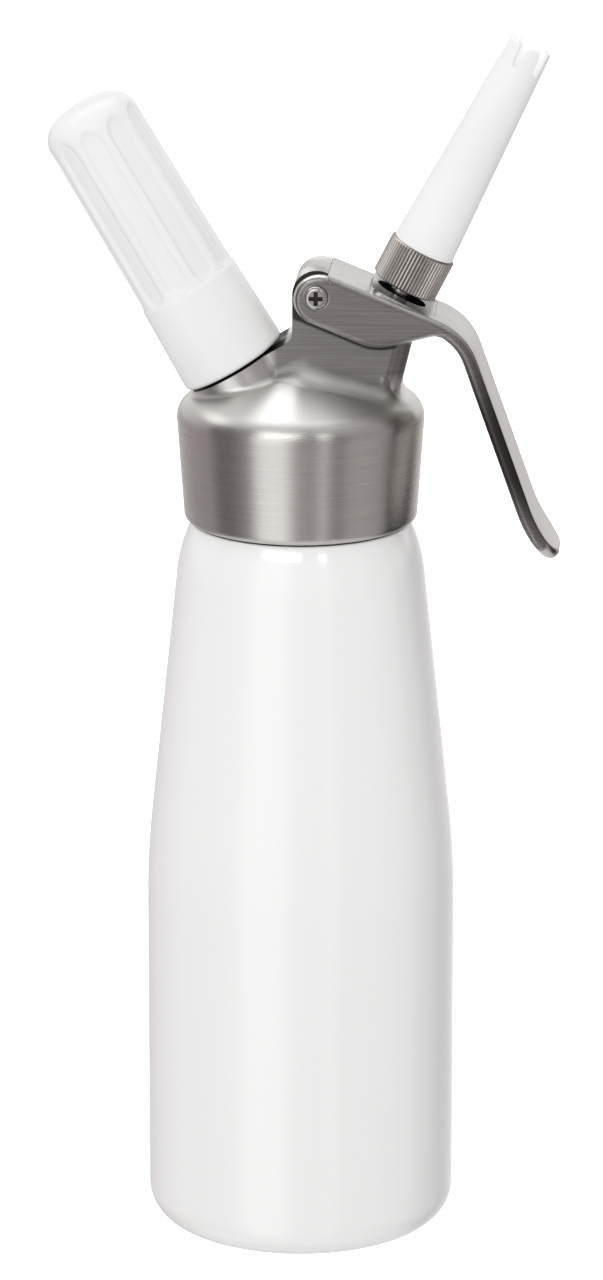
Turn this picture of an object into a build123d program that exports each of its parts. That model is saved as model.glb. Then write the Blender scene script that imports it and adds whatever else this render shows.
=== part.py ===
import os
from math import asin, cos, degrees, pi, radians, sin, sqrt, tan

from build123d import *

os.makedirs("parts", exist_ok=True)

# Cream whipper: the origin is the centre of the base, +Z is up, the lever and nozzle lean to +X
# and the charger holder leans to -X. Millimetres and degrees.

# Clearances
running_fit = 0.05  # radial, between a pin or stem and its guide
free_gap = 0.3  # between moving pieces that must not touch
face_gap = 0.1  # between flat faces that close on each other

# Bottle
bottle_d = 80.0
bottle_wall = 2.0
base_fillet = 9.0
base_groove_d = 48.0
base_groove_w = 1.6
base_groove_depth = 0.5
body_height = 88.0  # straight wall, measured from the base
taper_angle = 6.04
taper_blend_r = 227.0
cone_length = 64.5
shoulder_r = 41.0
shoulder_turn = 19.0
shoulder_corner_r = 0.8
neck_ledge = 2.2
neck_wall = 3.2
neck_height = 20.0
neck_edge = 0.6

# Head
head_seat_gap = 0.5  # between the bottle's shoulder and the skirt
skirt_wall = 4.2
skirt_angle = 4.0
skirt_height = 31.1  # to the corner of skirt and dome, before rounding
skirt_edge_r = 2.0
dome_slope = 20.0
dome_crown_r = 20.0  # rounds the dome's point, under the valve block
boss_margin = 0.3  # of dome between the skirt's rounding and the boss
head_gasket_t = 2.5
cavity_d = 34.0
cavity_height = 5.0  # above the gasket seat
cavity_corner_r = 3.0
cast_fillet = 2.5
boss_fillet = 2.0

# Charger boss and its screw spigot
charger_tilt = 30.6
charger_seat_share = 0.52  # of the skirt's corner radius, from the axis
charger_seat_rise = 9.0  # above the skirt's corner
boss_r = 12.6
boss_depth = 8.0
spigot_d = 21.6
spigot_height = 14.0
spigot_edge = 0.8

# Piercer and check valve, heights along the charger axis from the boss face
charger_neck_recess = 9.5
piercer_gasket_t = 2.0
piercer_gasket_bore_d = 4.0
pin_shank_d = 6.0
pin_shank_length = 9.0
pin_d = 3.0
pin_reach = 4.4  # of the point past the charger's sealed end
pin_bore_d = 1.2
pin_point = 2.4  # height of the slanting cut
gas_duct_d = 4.0
check_pocket_d = 9.0
check_pocket_top = 9.0  # below the boss face
check_flange_t = 1.5
check_bill_d = 4.6
check_bill_length = 2.6
check_bill_taper = 12.0
check_bore_d = 2.4
check_slit = 0.4
retainer_bore_d = 5.4
retainer_length = 4.0
retainer_slot = 1.2

# Gas charger, the standard size
charger_d = 18.0
charger_length = 65.0
charger_wall = 1.6
charger_neck_d = 8.4
charger_neck_length = 9.5
charger_shoulder = 11.0
charger_end_r = 7.5
charger_cap_t = 0.8

# Charger holder and liner
holder_gap = 0.6  # dark line between the holder and the boss face
holder_body_d = 26.3  # just above the collar
holder_draft = 0.6
holder_collar_d = 28.2
holder_step_d = 26.9
holder_collar_height = 23.0
holder_step = 0.8
holder_top_wall = 3.2
holder_top_r = 7.0
holder_top_dome = 2.3
holder_edge_r = 1.3
flute_count = 10
flute_r = 4.0
flute_depth = 1.0
flute_foot = 3.0  # from the collar to the flute's round end
flute_head = 7.5  # from the flute's round end to the top
liner_wall = 1.2
liner_end_t = 1.5
liner_corner_r = 4.5
liner_thread_length = 15.0

# Valve axis and lever pivot
nozzle_tilt = 27.0
pivot_share = 0.1465  # of the skirt's corner radius, from the axis
pivot_rise = 29.5  # above the skirt's corner
stem_arm = 18.84  # from the pivot to the stem's axis
squeeze_angle = 9.0

# Valve block of the head
block_crown_r = 6.3
block_boss_r = 3.2
block_top_drop = 0.86  # below the pivot, square to the stem's axis
block_end = 8.5  # past the stem's axis
block_end_lean = 13.8
block_corner_r = 4.5
foot_cover = 1.0  # of metal over the cavity, under the block

# Lever
lever_width = 24.6
cheek_t = 2.6
cheek_r = 6.5
cheek_shift = 0.9  # of the cheek's round end, past the pivot
cheek_drop = 0.5  # of the cheek's round end, below the pivot
lever_slope = 22.0
web_t = 2.8
web_lead_gap = 0.1
handle_t = 3.6
handle_lean = 19.7  # of the handle from the vertical
knee_r = 17.0
knee_reach = 38.7  # along the web's top from the pivot to the knee's corner
handle_length = 41.0  # straight part, below the knee
curl_r = 35.0
curl_turn = 25.0
tip_corner_r = 9.0
belly_start = 14.8  # along the cheek's lower edge, from the pivot
belly_r = 13.0
belly_rise = 14.4
tail_hollow_r = 4.0  # between the cheek's tail and the handle
pad_length = 17.8
pad_inset = 1.8  # from the lever's sides
pad_corner_r = 3.0
pad_shift = 1.3  # of the pad's middle past the stem's axis
pad_rise = 0.5  # above the web's top on the stem's axis
slot_near_room = 0.8  # past what the stem needs, towards the pivot
slot_far_room = 3.1
slot_side_gap = 0.8
lever_edge_r = 1.6
screw_recess_depth = 0.7

# Pivot
sleeve_d = 4.0
sleeve_flange_d = 6.3
sleeve_flange_t = 1.2
pivot_thread_d = 2.5
screw_head_d = 6.3
screw_head_t = 1.7
screw_shank_length = 14.0
cross_width = 1.1
cross_length = 3.6
cross_depth = 1.1
screw_dome_r = 1.2
washer_d = 6.2
washer_t = 0.5

# Valve stem and what it carries; heights run along the stem's axis from the pivot's level
stem_d = 6.0
stem_top_d = 8.0
stem_shoulder = 1.2  # over the collar
stem_neck_d = 5.4  # between the shoulder and the nozzle's thread
stem_bore_d = 3.8
stem_port_d = 2.4
spigot_thread_d = 4.2
collar_d = 14.0
collar_t = 1.6
collar_edge = 0.3
spring_pocket_d = 11.8
spring_pocket_depth = 10.2
bush_flange_t = 1.5
bush_d = 9.0
bush_length = 4.0
o_ring_land = 2.0
chamber_d = 8.2
chamber_length = 5.0
seal_pocket_d = 13.0
seal_d = 11.2
seal_t = 2.6
seal_washer_d = 10.0
seal_washer_t = 1.2
stem_nut_width = 7.0
stem_nut_t = 3.2
stem_tail = 1.0
spring_wire = 1.0
spring_turns = 5
spring_steps = 4  # biarcs in a turn
gap_points = 400  # along the wire, for the printed gap

# Nozzle
ring_gap = 2.85  # from the web's top to the ring, on the stem's axis
ring_d = 17.4
ring_height = 11.0
ring_edge = 0.5
knurl_count = 60
knurl_depth = 0.35
thread_engage = 5.7
tip_plug_d = 15.0
nozzle_gasket_t = 1.2
tip_base_d = 16.2
tip_length = 59.0
tip_taper = 2.35
tip_wall = 1.5
tooth_count = 6
tooth_depth = 6.0
tooth_gap_root = 1.5
tooth_gap_mouth = 2.8
tooth_tip_r = 0.7
tooth_turn = -45.0  # of the first gap round the axis, from the front
tip_inlet_d = 5.2
tip_floor_t = 1.5


def polar(centre, radius, angle):
    return (centre[0] + radius * cos(radians(angle)), centre[1] + radius * sin(radians(angle)))


# Bottle outline: base corner, straight wall, blend, cone, shoulder
bottle_r = bottle_d / 2
base_centre = (bottle_r - base_fillet, base_fillet)
blend_centre = (bottle_r - taper_blend_r, body_height)
blend_end = polar(blend_centre, taper_blend_r, taper_angle)
cone_end = polar(blend_end, cone_length, 90 + taper_angle)
shoulder_centre = polar(cone_end, -shoulder_r, taper_angle)
shoulder_angle = taper_angle + shoulder_turn
shoulder_end = polar(shoulder_centre, shoulder_r, shoulder_angle)
corner_centre = polar(shoulder_end, -shoulder_corner_r, shoulder_angle)
shelf_z = corner_centre[1] + shoulder_corner_r
neck_r = corner_centre[0] - neck_ledge
neck_bore_r = neck_r - neck_wall
rim_z = shelf_z + neck_height

# Head levels
head_z = shelf_z + head_seat_gap
head_bore_r = neck_r + free_gap
skirt_r = head_bore_r + skirt_wall
skirt_corner = (skirt_r + skirt_height * tan(radians(skirt_angle)), head_z + skirt_height)
charger_seat_x = -charger_seat_share * skirt_corner[0]
pivot_x = pivot_share * skirt_corner[0]
boss_reach = boss_r * cos(radians(charger_tilt)) - charger_seat_x
dome_room = (skirt_corner[0] - boss_reach - boss_margin) / cos(radians(dome_slope))
dome_corner_r = dome_room / tan(radians(90 - dome_slope + skirt_angle) / 2)
crown_edge_r = dome_crown_r * sin(radians(dome_slope))
crown_edge_z = skirt_corner[1] + (skirt_corner[0] - crown_edge_r) * tan(radians(dome_slope))
crown_centre = (0, crown_edge_z - dome_crown_r * cos(radians(dome_slope)))
dome_top_z = crown_centre[1] + dome_crown_r
gasket_z = rim_z + face_gap
gasket_seat_z = gasket_z + head_gasket_t + face_gap
cavity_z = gasket_seat_z + cavity_height

# Charger axis: plane on the boss face, and the section plane that holds the axis
charger_z = skirt_corner[1] + charger_seat_rise
charger_sin, charger_cos = sin(radians(charger_tilt)), cos(radians(charger_tilt))
charger_origin = (charger_seat_x, 0, charger_z)
charger_dir = (-charger_sin, 0, charger_cos)
charger_across = (charger_cos, 0, charger_sin)
charger_plane = Plane(charger_origin, x_dir=charger_across, z_dir=charger_dir)
charger_section = Plane(charger_origin, x_dir=charger_across, z_dir=(0, -1, 0))
charger_axis = Axis(charger_origin, charger_dir)

# Stem axis: plane at the pivot's level, and the section plane that holds the axis
pivot_z = skirt_corner[1] + pivot_rise
stem_sin, stem_cos = sin(radians(nozzle_tilt)), cos(radians(nozzle_tilt))
stem_origin = (pivot_x + stem_arm * stem_cos, 0, pivot_z - stem_arm * stem_sin)
stem_dir = (stem_sin, 0, stem_cos)
stem_across = (stem_cos, 0, -stem_sin)
stem_plane = Plane(stem_origin, x_dir=stem_across, z_dir=stem_dir)
stem_section = Plane(stem_origin, x_dir=stem_across, z_dir=(0, -1, 0))
stem_axis = Axis(stem_origin, stem_dir)
lever_across = (cos(radians(lever_slope)), 0, -sin(radians(lever_slope)))
lever_section = Plane((pivot_x, 0, pivot_z), x_dir=lever_across, z_dir=(0, -1, 0))
pivot_plane = Plane((pivot_x, 0, pivot_z), x_dir=(1, 0, 0), z_dir=(0, -1, 0))


def web_height(distance, off_pivot, turn):
    """Height along the stem's axis of a lever face that lies off_pivot from the pivot."""
    lean = radians(nozzle_tilt - lever_slope - turn)
    return (off_pivot + distance * sin(lean)) / cos(lean)


block_width = lever_width - 2 * (cheek_t + washer_t + 2 * face_gap)

# Levels along the stem's axis
web_under = block_crown_r - web_t
collar_top = web_height(stem_arm - collar_d / 2, web_under, 0) - free_gap
collar_bottom = collar_top - collar_t
ring_bottom = web_height(stem_arm, block_crown_r, 0) + ring_gap
block_top = -block_top_drop
pocket_floor = block_top - spring_pocket_depth
bush_end = pocket_floor - bush_length
land_end = bush_end - o_ring_land
seat = land_end - chamber_length
seal_top = seat - face_gap
seal_bottom = seal_top - seal_t
seal_washer_bottom = seal_bottom - seal_washer_t
stem_nut_bottom = seal_washer_bottom - stem_nut_t
stem_end = stem_nut_bottom - stem_tail
stem_top = ring_bottom + thread_engage
nozzle_gasket_z = stem_top + face_gap
tip_plug_z = nozzle_gasket_z + nozzle_gasket_t + face_gap
ring_top = ring_bottom + ring_height
tip_top = ring_top + tip_length

# Levels along the charger axis
recess_floor = spigot_height - charger_neck_recess
piercer_gasket_top = recess_floor + piercer_gasket_t
charger_tip = piercer_gasket_top + face_gap
charger_top = charger_tip + charger_length
liner_end = charger_top + face_gap
holder_end = liner_end + liner_end_t + holder_top_wall
recess_r = charger_neck_d / 2 + free_gap
liner_bore_r = charger_d / 2 + free_gap
liner_thread_r = spigot_d / 2 + free_gap
pin_tip = charger_tip + pin_reach
check_top = -check_pocket_top
check_flange_bottom = check_top - check_flange_t
retainer_bottom = check_flange_bottom - face_gap - retainer_length

# Both pockets run on through the cavity's ceiling
charger_depth = (charger_z - cavity_z) / charger_cos
stem_depth = (stem_origin[2] - cavity_z) / stem_cos
check_pocket_length = charger_depth + check_top + check_pocket_d / 2 * tan(radians(charger_tilt)) + face_gap
seal_pocket_length = stem_depth + seat + seal_pocket_d / 2 * tan(radians(nozzle_tilt)) + face_gap


def bottle_side(inset, turn):
    """Wall outline from the base corner up to the shoulder, moved inwards; returns its end."""
    CenterArc(base_centre, base_fillet - inset, -90, 90)
    Line((bottle_r - inset, base_fillet), (bottle_r - inset, body_height))
    CenterArc(blend_centre, taper_blend_r - inset, 0, taper_angle)
    Line(polar(blend_end, -inset, taper_angle), polar(cone_end, -inset, taper_angle))
    CenterArc(shoulder_centre, shoulder_r - inset, taper_angle, turn)
    return polar(shoulder_centre, shoulder_r - inset, taper_angle + turn)


with BuildPart() as bottle:
    with BuildSketch(Plane.XZ):
        with BuildLine():
            bottle_side(0, shoulder_turn)
            CenterArc(corner_centre, shoulder_corner_r, shoulder_angle, 90 - shoulder_angle)
            Polyline(
                (corner_centre[0], shelf_z),
                (neck_r, shelf_z),
                (neck_r, rim_z),
                (0, rim_z),
                (0, 0),
                (base_centre[0], 0),
            )
        make_face()
    revolve(axis=Axis.Z)
    with BuildSketch(Plane.XZ):
        with BuildLine():
            inner_end = bottle_side(bottle_wall, shoulder_turn / 2)
            Polyline(
                inner_end,
                (neck_bore_r, shelf_z),
                (neck_bore_r, rim_z),
                (0, rim_z),
                (0, bottle_wall),
                (base_centre[0], bottle_wall),
            )
        make_face()
    revolve(axis=Axis.Z, mode=Mode.SUBTRACT)
    with BuildSketch(Plane.XY):
        Circle(base_groove_d / 2)
        Circle(base_groove_d / 2 - base_groove_w, mode=Mode.SUBTRACT)
    extrude(amount=base_groove_depth, mode=Mode.SUBTRACT)
    fillet(bottle.faces().sort_by(Axis.Z)[-1].edges(), neck_edge)
bottle.part.label = "bottle"
export_step(bottle.part, "parts/bottle.step")


def at_pivot(along, up):
    """Point in the XZ plane, measured from the pivot across and along the stem's axis."""
    return (
        pivot_x + along * stem_cos + up * stem_sin,
        pivot_z - along * stem_sin + up * stem_cos,
    )


# Valve block: crown round the pivot, flat top square to the stem, leaning end, seat towards the boss
crown_start = 90 - nozzle_tilt
boss_drop = sqrt(block_boss_r**2 - block_top_drop**2)
boss_sweep = 90 + degrees(asin(block_top_drop / block_boss_r))
block_left = pivot_x - block_crown_r
seat_line_z = charger_z + (block_left - charger_seat_x) * tan(radians(charger_tilt))
block_corner = at_pivot(stem_arm + block_end, block_top)
block_foot_z = cavity_z + foot_cover
block_foot_x = block_corner[0] - (block_corner[1] - block_foot_z) * tan(radians(block_end_lean))

with BuildPart() as valve_block:
    with BuildSketch(Plane.XZ):
        with BuildLine():
            CenterArc((pivot_x, pivot_z), block_crown_r, crown_start, 180 - crown_start)
            Polyline(
                (block_left, pivot_z),
                (block_left, seat_line_z),
                (charger_seat_x, charger_z),
                (charger_seat_x, block_foot_z),
                (block_foot_x, block_foot_z),
                block_corner,
                at_pivot(boss_drop, block_top),
            )
            CenterArc((pivot_x, pivot_z), block_boss_r, crown_start - boss_sweep, boss_sweep)
            Line(at_pivot(0, block_boss_r), at_pivot(0, block_crown_r))
        make_face()
    extrude(amount=block_width / 2, both=True)
    end_edges = valve_block.faces().sort_by(Axis.X)[-1].edges().filter_by(Axis.Y, reverse=True)
    fillet(end_edges, block_corner_r)
    inner_corner = valve_block.edges().filter_by(Axis.Y).sort_by_distance((block_left, 0, seat_line_z))[0]
    fillet(inner_corner, cast_fillet)

with BuildPart() as charger_boss:
    with BuildSketch(charger_plane):
        Circle(boss_r)
    extrude(amount=-boss_depth)

with BuildPart() as head:
    with BuildSketch(Plane.XZ):
        with BuildLine():
            FilletPolyline(
                (skirt_r / 2, head_z),
                (skirt_r, head_z),
                skirt_corner,
                (crown_edge_r, crown_edge_z),
                radius=[skirt_edge_r, dome_corner_r],
            )
            CenterArc(crown_centre, dome_crown_r, 90 - dome_slope, dome_slope)
            Polyline((0, dome_top_z), (0, head_z), (skirt_r / 2, head_z))
        make_face()
    revolve(axis=Axis.Z)
    add(charger_boss.part)
    fillet(head.edges(Select.NEW), boss_fillet)
    add(valve_block.part)
    fillet(head.edges(Select.NEW), cast_fillet)
    # Bore over the neck, gasket seat and cavity
    with BuildSketch(Plane.XY.offset(head_z)):
        Circle(head_bore_r)
    extrude(amount=gasket_seat_z - head_z, mode=Mode.SUBTRACT)
    with BuildSketch(Plane.XY.offset(gasket_seat_z)):
        Circle(cavity_d / 2)
    extrude(amount=cavity_height, mode=Mode.SUBTRACT)
    fillet(head.edges(Select.LAST).sort_by(Axis.Z)[-1], cavity_corner_r)
    # Screw spigot for the charger holder, with the recess for the charger's neck
    with BuildSketch(charger_plane):
        Circle(spigot_d / 2)
    extrude(amount=spigot_height)
    chamfer(head.faces().sort_by(charger_axis)[-1].edges(), spigot_edge)
    with BuildSketch(charger_plane.offset(recess_floor)):
        Circle(recess_r)
    extrude(amount=charger_neck_recess, mode=Mode.SUBTRACT)
    # Gas way: pin bore, duct and check valve pocket
    with BuildSketch(charger_plane.offset(recess_floor)):
        Circle(pin_shank_d / 2 + running_fit)
    extrude(amount=-pin_shank_length, mode=Mode.SUBTRACT)
    with BuildSketch(charger_plane.offset(check_top)):
        Circle(gas_duct_d / 2)
    extrude(amount=recess_floor - check_top, mode=Mode.SUBTRACT)
    with BuildSketch(charger_plane.offset(check_top)):
        Circle(check_pocket_d / 2)
    extrude(amount=-check_pocket_length, mode=Mode.SUBTRACT)
    # Cream way: spring pocket, bush bore, chamber and seal pocket
    with BuildSketch(stem_plane.offset(block_top)):
        Circle(spring_pocket_d / 2)
    extrude(amount=-spring_pocket_depth, mode=Mode.SUBTRACT)
    with BuildSketch(stem_plane.offset(pocket_floor)):
        Circle(bush_d / 2)
    extrude(amount=land_end - pocket_floor, mode=Mode.SUBTRACT)
    with BuildSketch(stem_plane.offset(land_end)):
        Circle(chamber_d / 2)
    extrude(amount=-chamber_length, mode=Mode.SUBTRACT)
    with BuildSketch(stem_plane.offset(seat)):
        Circle(seal_pocket_d / 2)
    extrude(amount=-seal_pocket_length, mode=Mode.SUBTRACT)
    with BuildSketch(pivot_plane):
        Circle(sleeve_d / 2 + running_fit)
    extrude(amount=block_width / 2, both=True, mode=Mode.SUBTRACT)
head.part.label = "head"
export_step(head.part, "parts/head.step")

with BuildPart() as head_gasket:
    with BuildSketch(Plane.XY.offset(gasket_z)):
        Circle(head_bore_r - free_gap)
        Circle(neck_bore_r, mode=Mode.SUBTRACT)
    extrude(amount=head_gasket_t)
head_gasket.part.label = "head_gasket"
export_step(head_gasket.part, "parts/head_gasket.step")

# Gas side, along the charger axis
with BuildPart() as piercing_pin:
    with BuildSketch(charger_plane.offset(recess_floor)):
        Circle(pin_shank_d / 2)
    extrude(amount=-pin_shank_length)
    with BuildSketch(charger_plane.offset(recess_floor)):
        Circle(pin_d / 2)
    extrude(amount=pin_tip - recess_floor)
    with BuildSketch(charger_section):
        with BuildLine():
            Polyline(
                (-pin_d / 2, pin_tip),
                (pin_d / 2, pin_tip),
                (pin_d / 2, pin_tip - pin_point),
                close=True,
            )
        make_face()
    extrude(amount=pin_d, both=True, mode=Mode.SUBTRACT)
    with BuildSketch(charger_plane.offset(recess_floor - pin_shank_length)):
        Circle(pin_bore_d / 2)
    extrude(amount=pin_tip - recess_floor + pin_shank_length, mode=Mode.SUBTRACT)
piercing_pin.part.label = "piercing_pin"
export_step(piercing_pin.part, "parts/piercing_pin.step")

with BuildPart() as piercer_gasket:
    with BuildSketch(charger_plane.offset(recess_floor)):
        Circle(recess_r - running_fit)
        Circle(piercer_gasket_bore_d / 2, mode=Mode.SUBTRACT)
    extrude(amount=piercer_gasket_t)
piercer_gasket.part.label = "piercer_gasket"
export_step(piercer_gasket.part, "parts/piercer_gasket.step")

with BuildPart() as check_valve:
    with BuildSketch(charger_plane.offset(check_top)):
        Circle(check_pocket_d / 2 - running_fit)
    extrude(amount=-check_flange_t)
    with BuildSketch(charger_plane.offset(check_flange_bottom)):
        Circle(check_bill_d / 2)
    extrude(amount=-check_bill_length, taper=check_bill_taper)
    with BuildSketch(charger_plane.offset(check_top)):
        Circle(check_bore_d / 2)
    extrude(amount=-check_flange_t - check_bill_length / 2, mode=Mode.SUBTRACT)
    with BuildSketch(charger_plane.offset(check_flange_bottom - check_bill_length / 2)):
        Rectangle(check_slit, check_bore_d)
    extrude(amount=-check_bill_length / 2, mode=Mode.SUBTRACT)
check_valve.part.label = "check_valve"
export_step(check_valve.part, "parts/check_valve.step")

with BuildPart() as check_valve_retainer:
    with BuildSketch(charger_plane.offset(check_flange_bottom - face_gap)):
        Circle(check_pocket_d / 2 - running_fit)
        Circle(retainer_bore_d / 2, mode=Mode.SUBTRACT)
    extrude(amount=-retainer_length)
    with BuildSketch(charger_plane.offset(retainer_bottom)):
        Rectangle(retainer_slot, check_pocket_d)
    extrude(amount=retainer_slot, mode=Mode.SUBTRACT)
check_valve_retainer.part.label = "check_valve_retainer"
export_step(check_valve_retainer.part, "parts/check_valve_retainer.step")

charger_r = charger_d / 2
neck_end = charger_tip + charger_neck_length
body_start = neck_end + charger_shoulder
pierced_r = pin_d / 2 + free_gap
bottom_centre = (charger_r - charger_end_r, charger_top - charger_end_r)

with BuildPart() as gas_charger:
    with BuildSketch(charger_section):
        with BuildLine():
            Polyline(
                (pierced_r, charger_tip),
                (charger_neck_d / 2, charger_tip),
                (charger_neck_d / 2, neck_end),
                (charger_r, body_start),
                (charger_r, bottom_centre[1]),
            )
            CenterArc(bottom_centre, charger_end_r, 0, 90)
            Polyline(
                (bottom_centre[0], charger_top),
                (0, charger_top),
                (0, charger_top - charger_wall),
                (bottom_centre[0], charger_top - charger_wall),
            )
            CenterArc(bottom_centre, charger_end_r - charger_wall, 0, 90)
            Polyline(
                (charger_r - charger_wall, bottom_centre[1]),
                (charger_r - charger_wall, body_start),
                (charger_neck_d / 2 - charger_wall, neck_end),
                (charger_neck_d / 2 - charger_wall, charger_tip + charger_cap_t),
                (pierced_r, charger_tip + charger_cap_t),
                (pierced_r, charger_tip),
            )
        make_face()
    revolve(axis=charger_axis)
gas_charger.part.label = "gas_charger"
export_step(gas_charger.part, "parts/gas_charger.step")

liner_r = liner_bore_r + liner_wall
liner_skirt_r = liner_thread_r + liner_wall
liner_step = holder_gap + liner_thread_length
liner_corner_z = liner_end + liner_end_t - liner_corner_r

with BuildPart() as holder_liner:
    with BuildSketch(charger_section):
        with BuildLine():
            Polyline(
                (0, liner_end),
                (0, liner_end + liner_end_t),
                (liner_r - liner_corner_r, liner_end + liner_end_t),
            )
            CenterArc((liner_r - liner_corner_r, liner_corner_z), liner_corner_r, 0, 90)
            Polyline(
                (liner_r, liner_corner_z),
                (liner_r, liner_step + liner_wall),
                (liner_skirt_r, liner_step + liner_wall),
                (liner_skirt_r, holder_gap),
                (liner_thread_r, holder_gap),
                (liner_thread_r, liner_step),
                (liner_bore_r, liner_step),
                (liner_bore_r, liner_end),
                (0, liner_end),
            )
        make_face()
    revolve(axis=charger_axis)
holder_liner.part.label = "holder_liner"
export_step(holder_liner.part, "parts/holder_liner.step")

holder_r = holder_body_d / 2
collar_end = holder_gap + holder_collar_height
flute_low = collar_end + flute_foot
flute_high = holder_end - flute_head
fit_r = liner_r + running_fit
fit_skirt_r = liner_skirt_r + running_fit
fit_step = liner_step + liner_wall + running_fit


def body_r(height):
    """Radius of the holder's tapered body at a height along the charger axis."""
    return holder_r - (height - collar_end) * tan(radians(holder_draft))


with BuildPart() as charger_holder:
    with BuildSketch(charger_section):
        with BuildLine():
            FilletPolyline(
                (fit_skirt_r, holder_gap),
                (holder_collar_d / 2, holder_gap),
                (holder_step_d / 2, collar_end),
                (holder_r, collar_end + holder_step),
                (body_r(holder_end), holder_end),
                (0, holder_end + holder_top_dome),
                radius=[holder_edge_r, holder_step / 2, holder_step / 2, holder_top_r],
            )
            Polyline(
                (0, holder_end + holder_top_dome),
                (0, liner_end + liner_end_t + running_fit),
                (liner_r - liner_corner_r, liner_end + liner_end_t + running_fit),
            )
            CenterArc((liner_r - liner_corner_r, liner_corner_z), liner_corner_r + running_fit, 0, 90)
            Polyline(
                (fit_r, liner_corner_z),
                (fit_r, fit_step),
                (fit_skirt_r, fit_step),
                (fit_skirt_r, holder_gap),
            )
        make_face()
    revolve(axis=charger_axis)
    for flute in range(flute_count):
        flute_angle = flute * 360 / flute_count - 90
        flute_ends = []
        for height in (flute_low, flute_high):
            spot = polar((0, 0), body_r(height) - flute_depth + flute_r, flute_angle)
            flute_ends.append(charger_plane.from_local_coords((*spot, height)))
        run = flute_ends[1] - flute_ends[0]
        with BuildSketch(Plane(flute_ends[0], z_dir=run)):
            Circle(flute_r)
        extrude(amount=run.length, mode=Mode.SUBTRACT)
        with Locations(*flute_ends):
            Sphere(flute_r, mode=Mode.SUBTRACT)
charger_holder.part.label = "charger_holder"
export_step(charger_holder.part, "parts/charger_holder.step")

# Cream side, along the stem's axis
stem_r = stem_d / 2
stem_top_r = stem_top_d / 2
bush_top = pocket_floor + bush_flange_t
port_z = seat + chamber_length / 2
port_origin = stem_plane.origin + stem_plane.z_dir * port_z
o_ring_section = bush_d / 2 - stem_r - 2 * running_fit

with BuildPart() as guide_bush:
    with BuildSketch(stem_plane.offset(pocket_floor)):
        Circle(spring_pocket_d / 2 - free_gap)
    extrude(amount=bush_flange_t)
    with BuildSketch(stem_plane.offset(pocket_floor)):
        Circle(bush_d / 2 - running_fit)
    extrude(amount=-bush_length)
    with BuildSketch(stem_plane.offset(bush_end)):
        Circle(stem_r + running_fit)
    extrude(amount=bush_top - bush_end, mode=Mode.SUBTRACT)
guide_bush.part.label = "guide_bush"
export_step(guide_bush.part, "parts/guide_bush.step")

with BuildPart() as stem_o_ring:
    with BuildSketch(stem_section):
        with Locations((stem_r + running_fit + o_ring_section / 2, land_end + o_ring_land / 2)):
            Circle(o_ring_section / 2)
    revolve(axis=stem_axis)
stem_o_ring.part.label = "stem_o_ring"
export_step(stem_o_ring.part, "parts/stem_o_ring.step")

spring_r = (stem_d + spring_pocket_d) / 4
spring_low = bush_top + face_gap + spring_wire / 2
spring_high = collar_bottom - face_gap - spring_wire / 2
spring_pitch = (spring_high - spring_low) / spring_turns


def spring_at(turn):
    """Point on the wire's centre line after a number of turns, and its direction there."""
    angle = 2 * pi * turn
    outward = stem_plane.x_dir * cos(angle) + stem_plane.y_dir * sin(angle)
    around = stem_plane.y_dir * cos(angle) - stem_plane.x_dir * sin(angle)
    point = stem_plane.origin + outward * spring_r + stem_plane.z_dir * (spring_low + spring_pitch * turn)
    return point, (around * 2 * pi * spring_r + stem_plane.z_dir * spring_pitch).normalized()


with BuildPart() as valve_spring:
    with BuildLine() as spring_line:
        for step in range(spring_turns * spring_steps):
            start, start_dir = spring_at(step / spring_steps)
            end, end_dir = spring_at((step + 1) / spring_steps)
            chord = end - start
            bend = 2 * (1 - start_dir.dot(end_dir))
            lean = chord.dot(start_dir + end_dir)
            reach = (sqrt(lean**2 + bend * chord.dot(chord)) - lean) / bend
            start_corner = start + start_dir * reach
            end_corner = end - end_dir * reach
            middle = (start_corner + end_corner) / 2
            TangentArc(start, middle, tangent=start_dir)
            TangentArc(middle, end, tangent=end_corner - start_corner)
    first_point, first_dir = spring_at(0)
    with BuildSketch(Plane(first_point, z_dir=first_dir)):
        Circle(spring_wire / 2)
    sweep(path=spring_line.wires()[0])
valve_spring.part.label = "valve_spring"
export_step(valve_spring.part, "parts/valve_spring.step")

# Least gap between neighbouring turns, on points along the wire
spring_points = [spring_line.wires()[0].position_at(i / gap_points) for i in range(gap_points + 1)]
half_turn = gap_points // (2 * spring_turns)
spring_gap = min(
    (spring_points[i] - spring_points[j]).length - spring_wire
    for i in range(gap_points + 1)
    for j in range(i + half_turn, gap_points + 1)
)
print("valve_spring least gap", round(spring_gap, 3))

with BuildPart() as valve_stem:
    with BuildSketch(stem_section):
        with BuildLine():
            Polyline(
                (0, stem_end),
                (spigot_thread_d / 2, stem_end),
                (spigot_thread_d / 2, seal_top),
                (stem_r, seal_top),
                (stem_r, collar_top),
                (stem_top_r, collar_top),
                (stem_top_r, collar_top + stem_shoulder),
                (stem_neck_d / 2, collar_top + stem_shoulder),
                (stem_neck_d / 2, ring_bottom),
                (stem_top_r, ring_bottom),
                (stem_top_r, stem_top),
                (stem_bore_d / 2, stem_top),
                (stem_bore_d / 2, port_z),
                (0, port_z),
                close=True,
            )
        make_face()
    revolve(axis=stem_axis)
    for port_normal in (stem_plane.x_dir, stem_plane.y_dir):
        with BuildSketch(Plane(port_origin, x_dir=stem_dir, z_dir=port_normal)):
            Circle(stem_port_d / 2)
        extrude(amount=stem_r, both=True, mode=Mode.SUBTRACT)
valve_stem.part.label = "valve_stem"
export_step(valve_stem.part, "parts/valve_stem.step")

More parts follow.
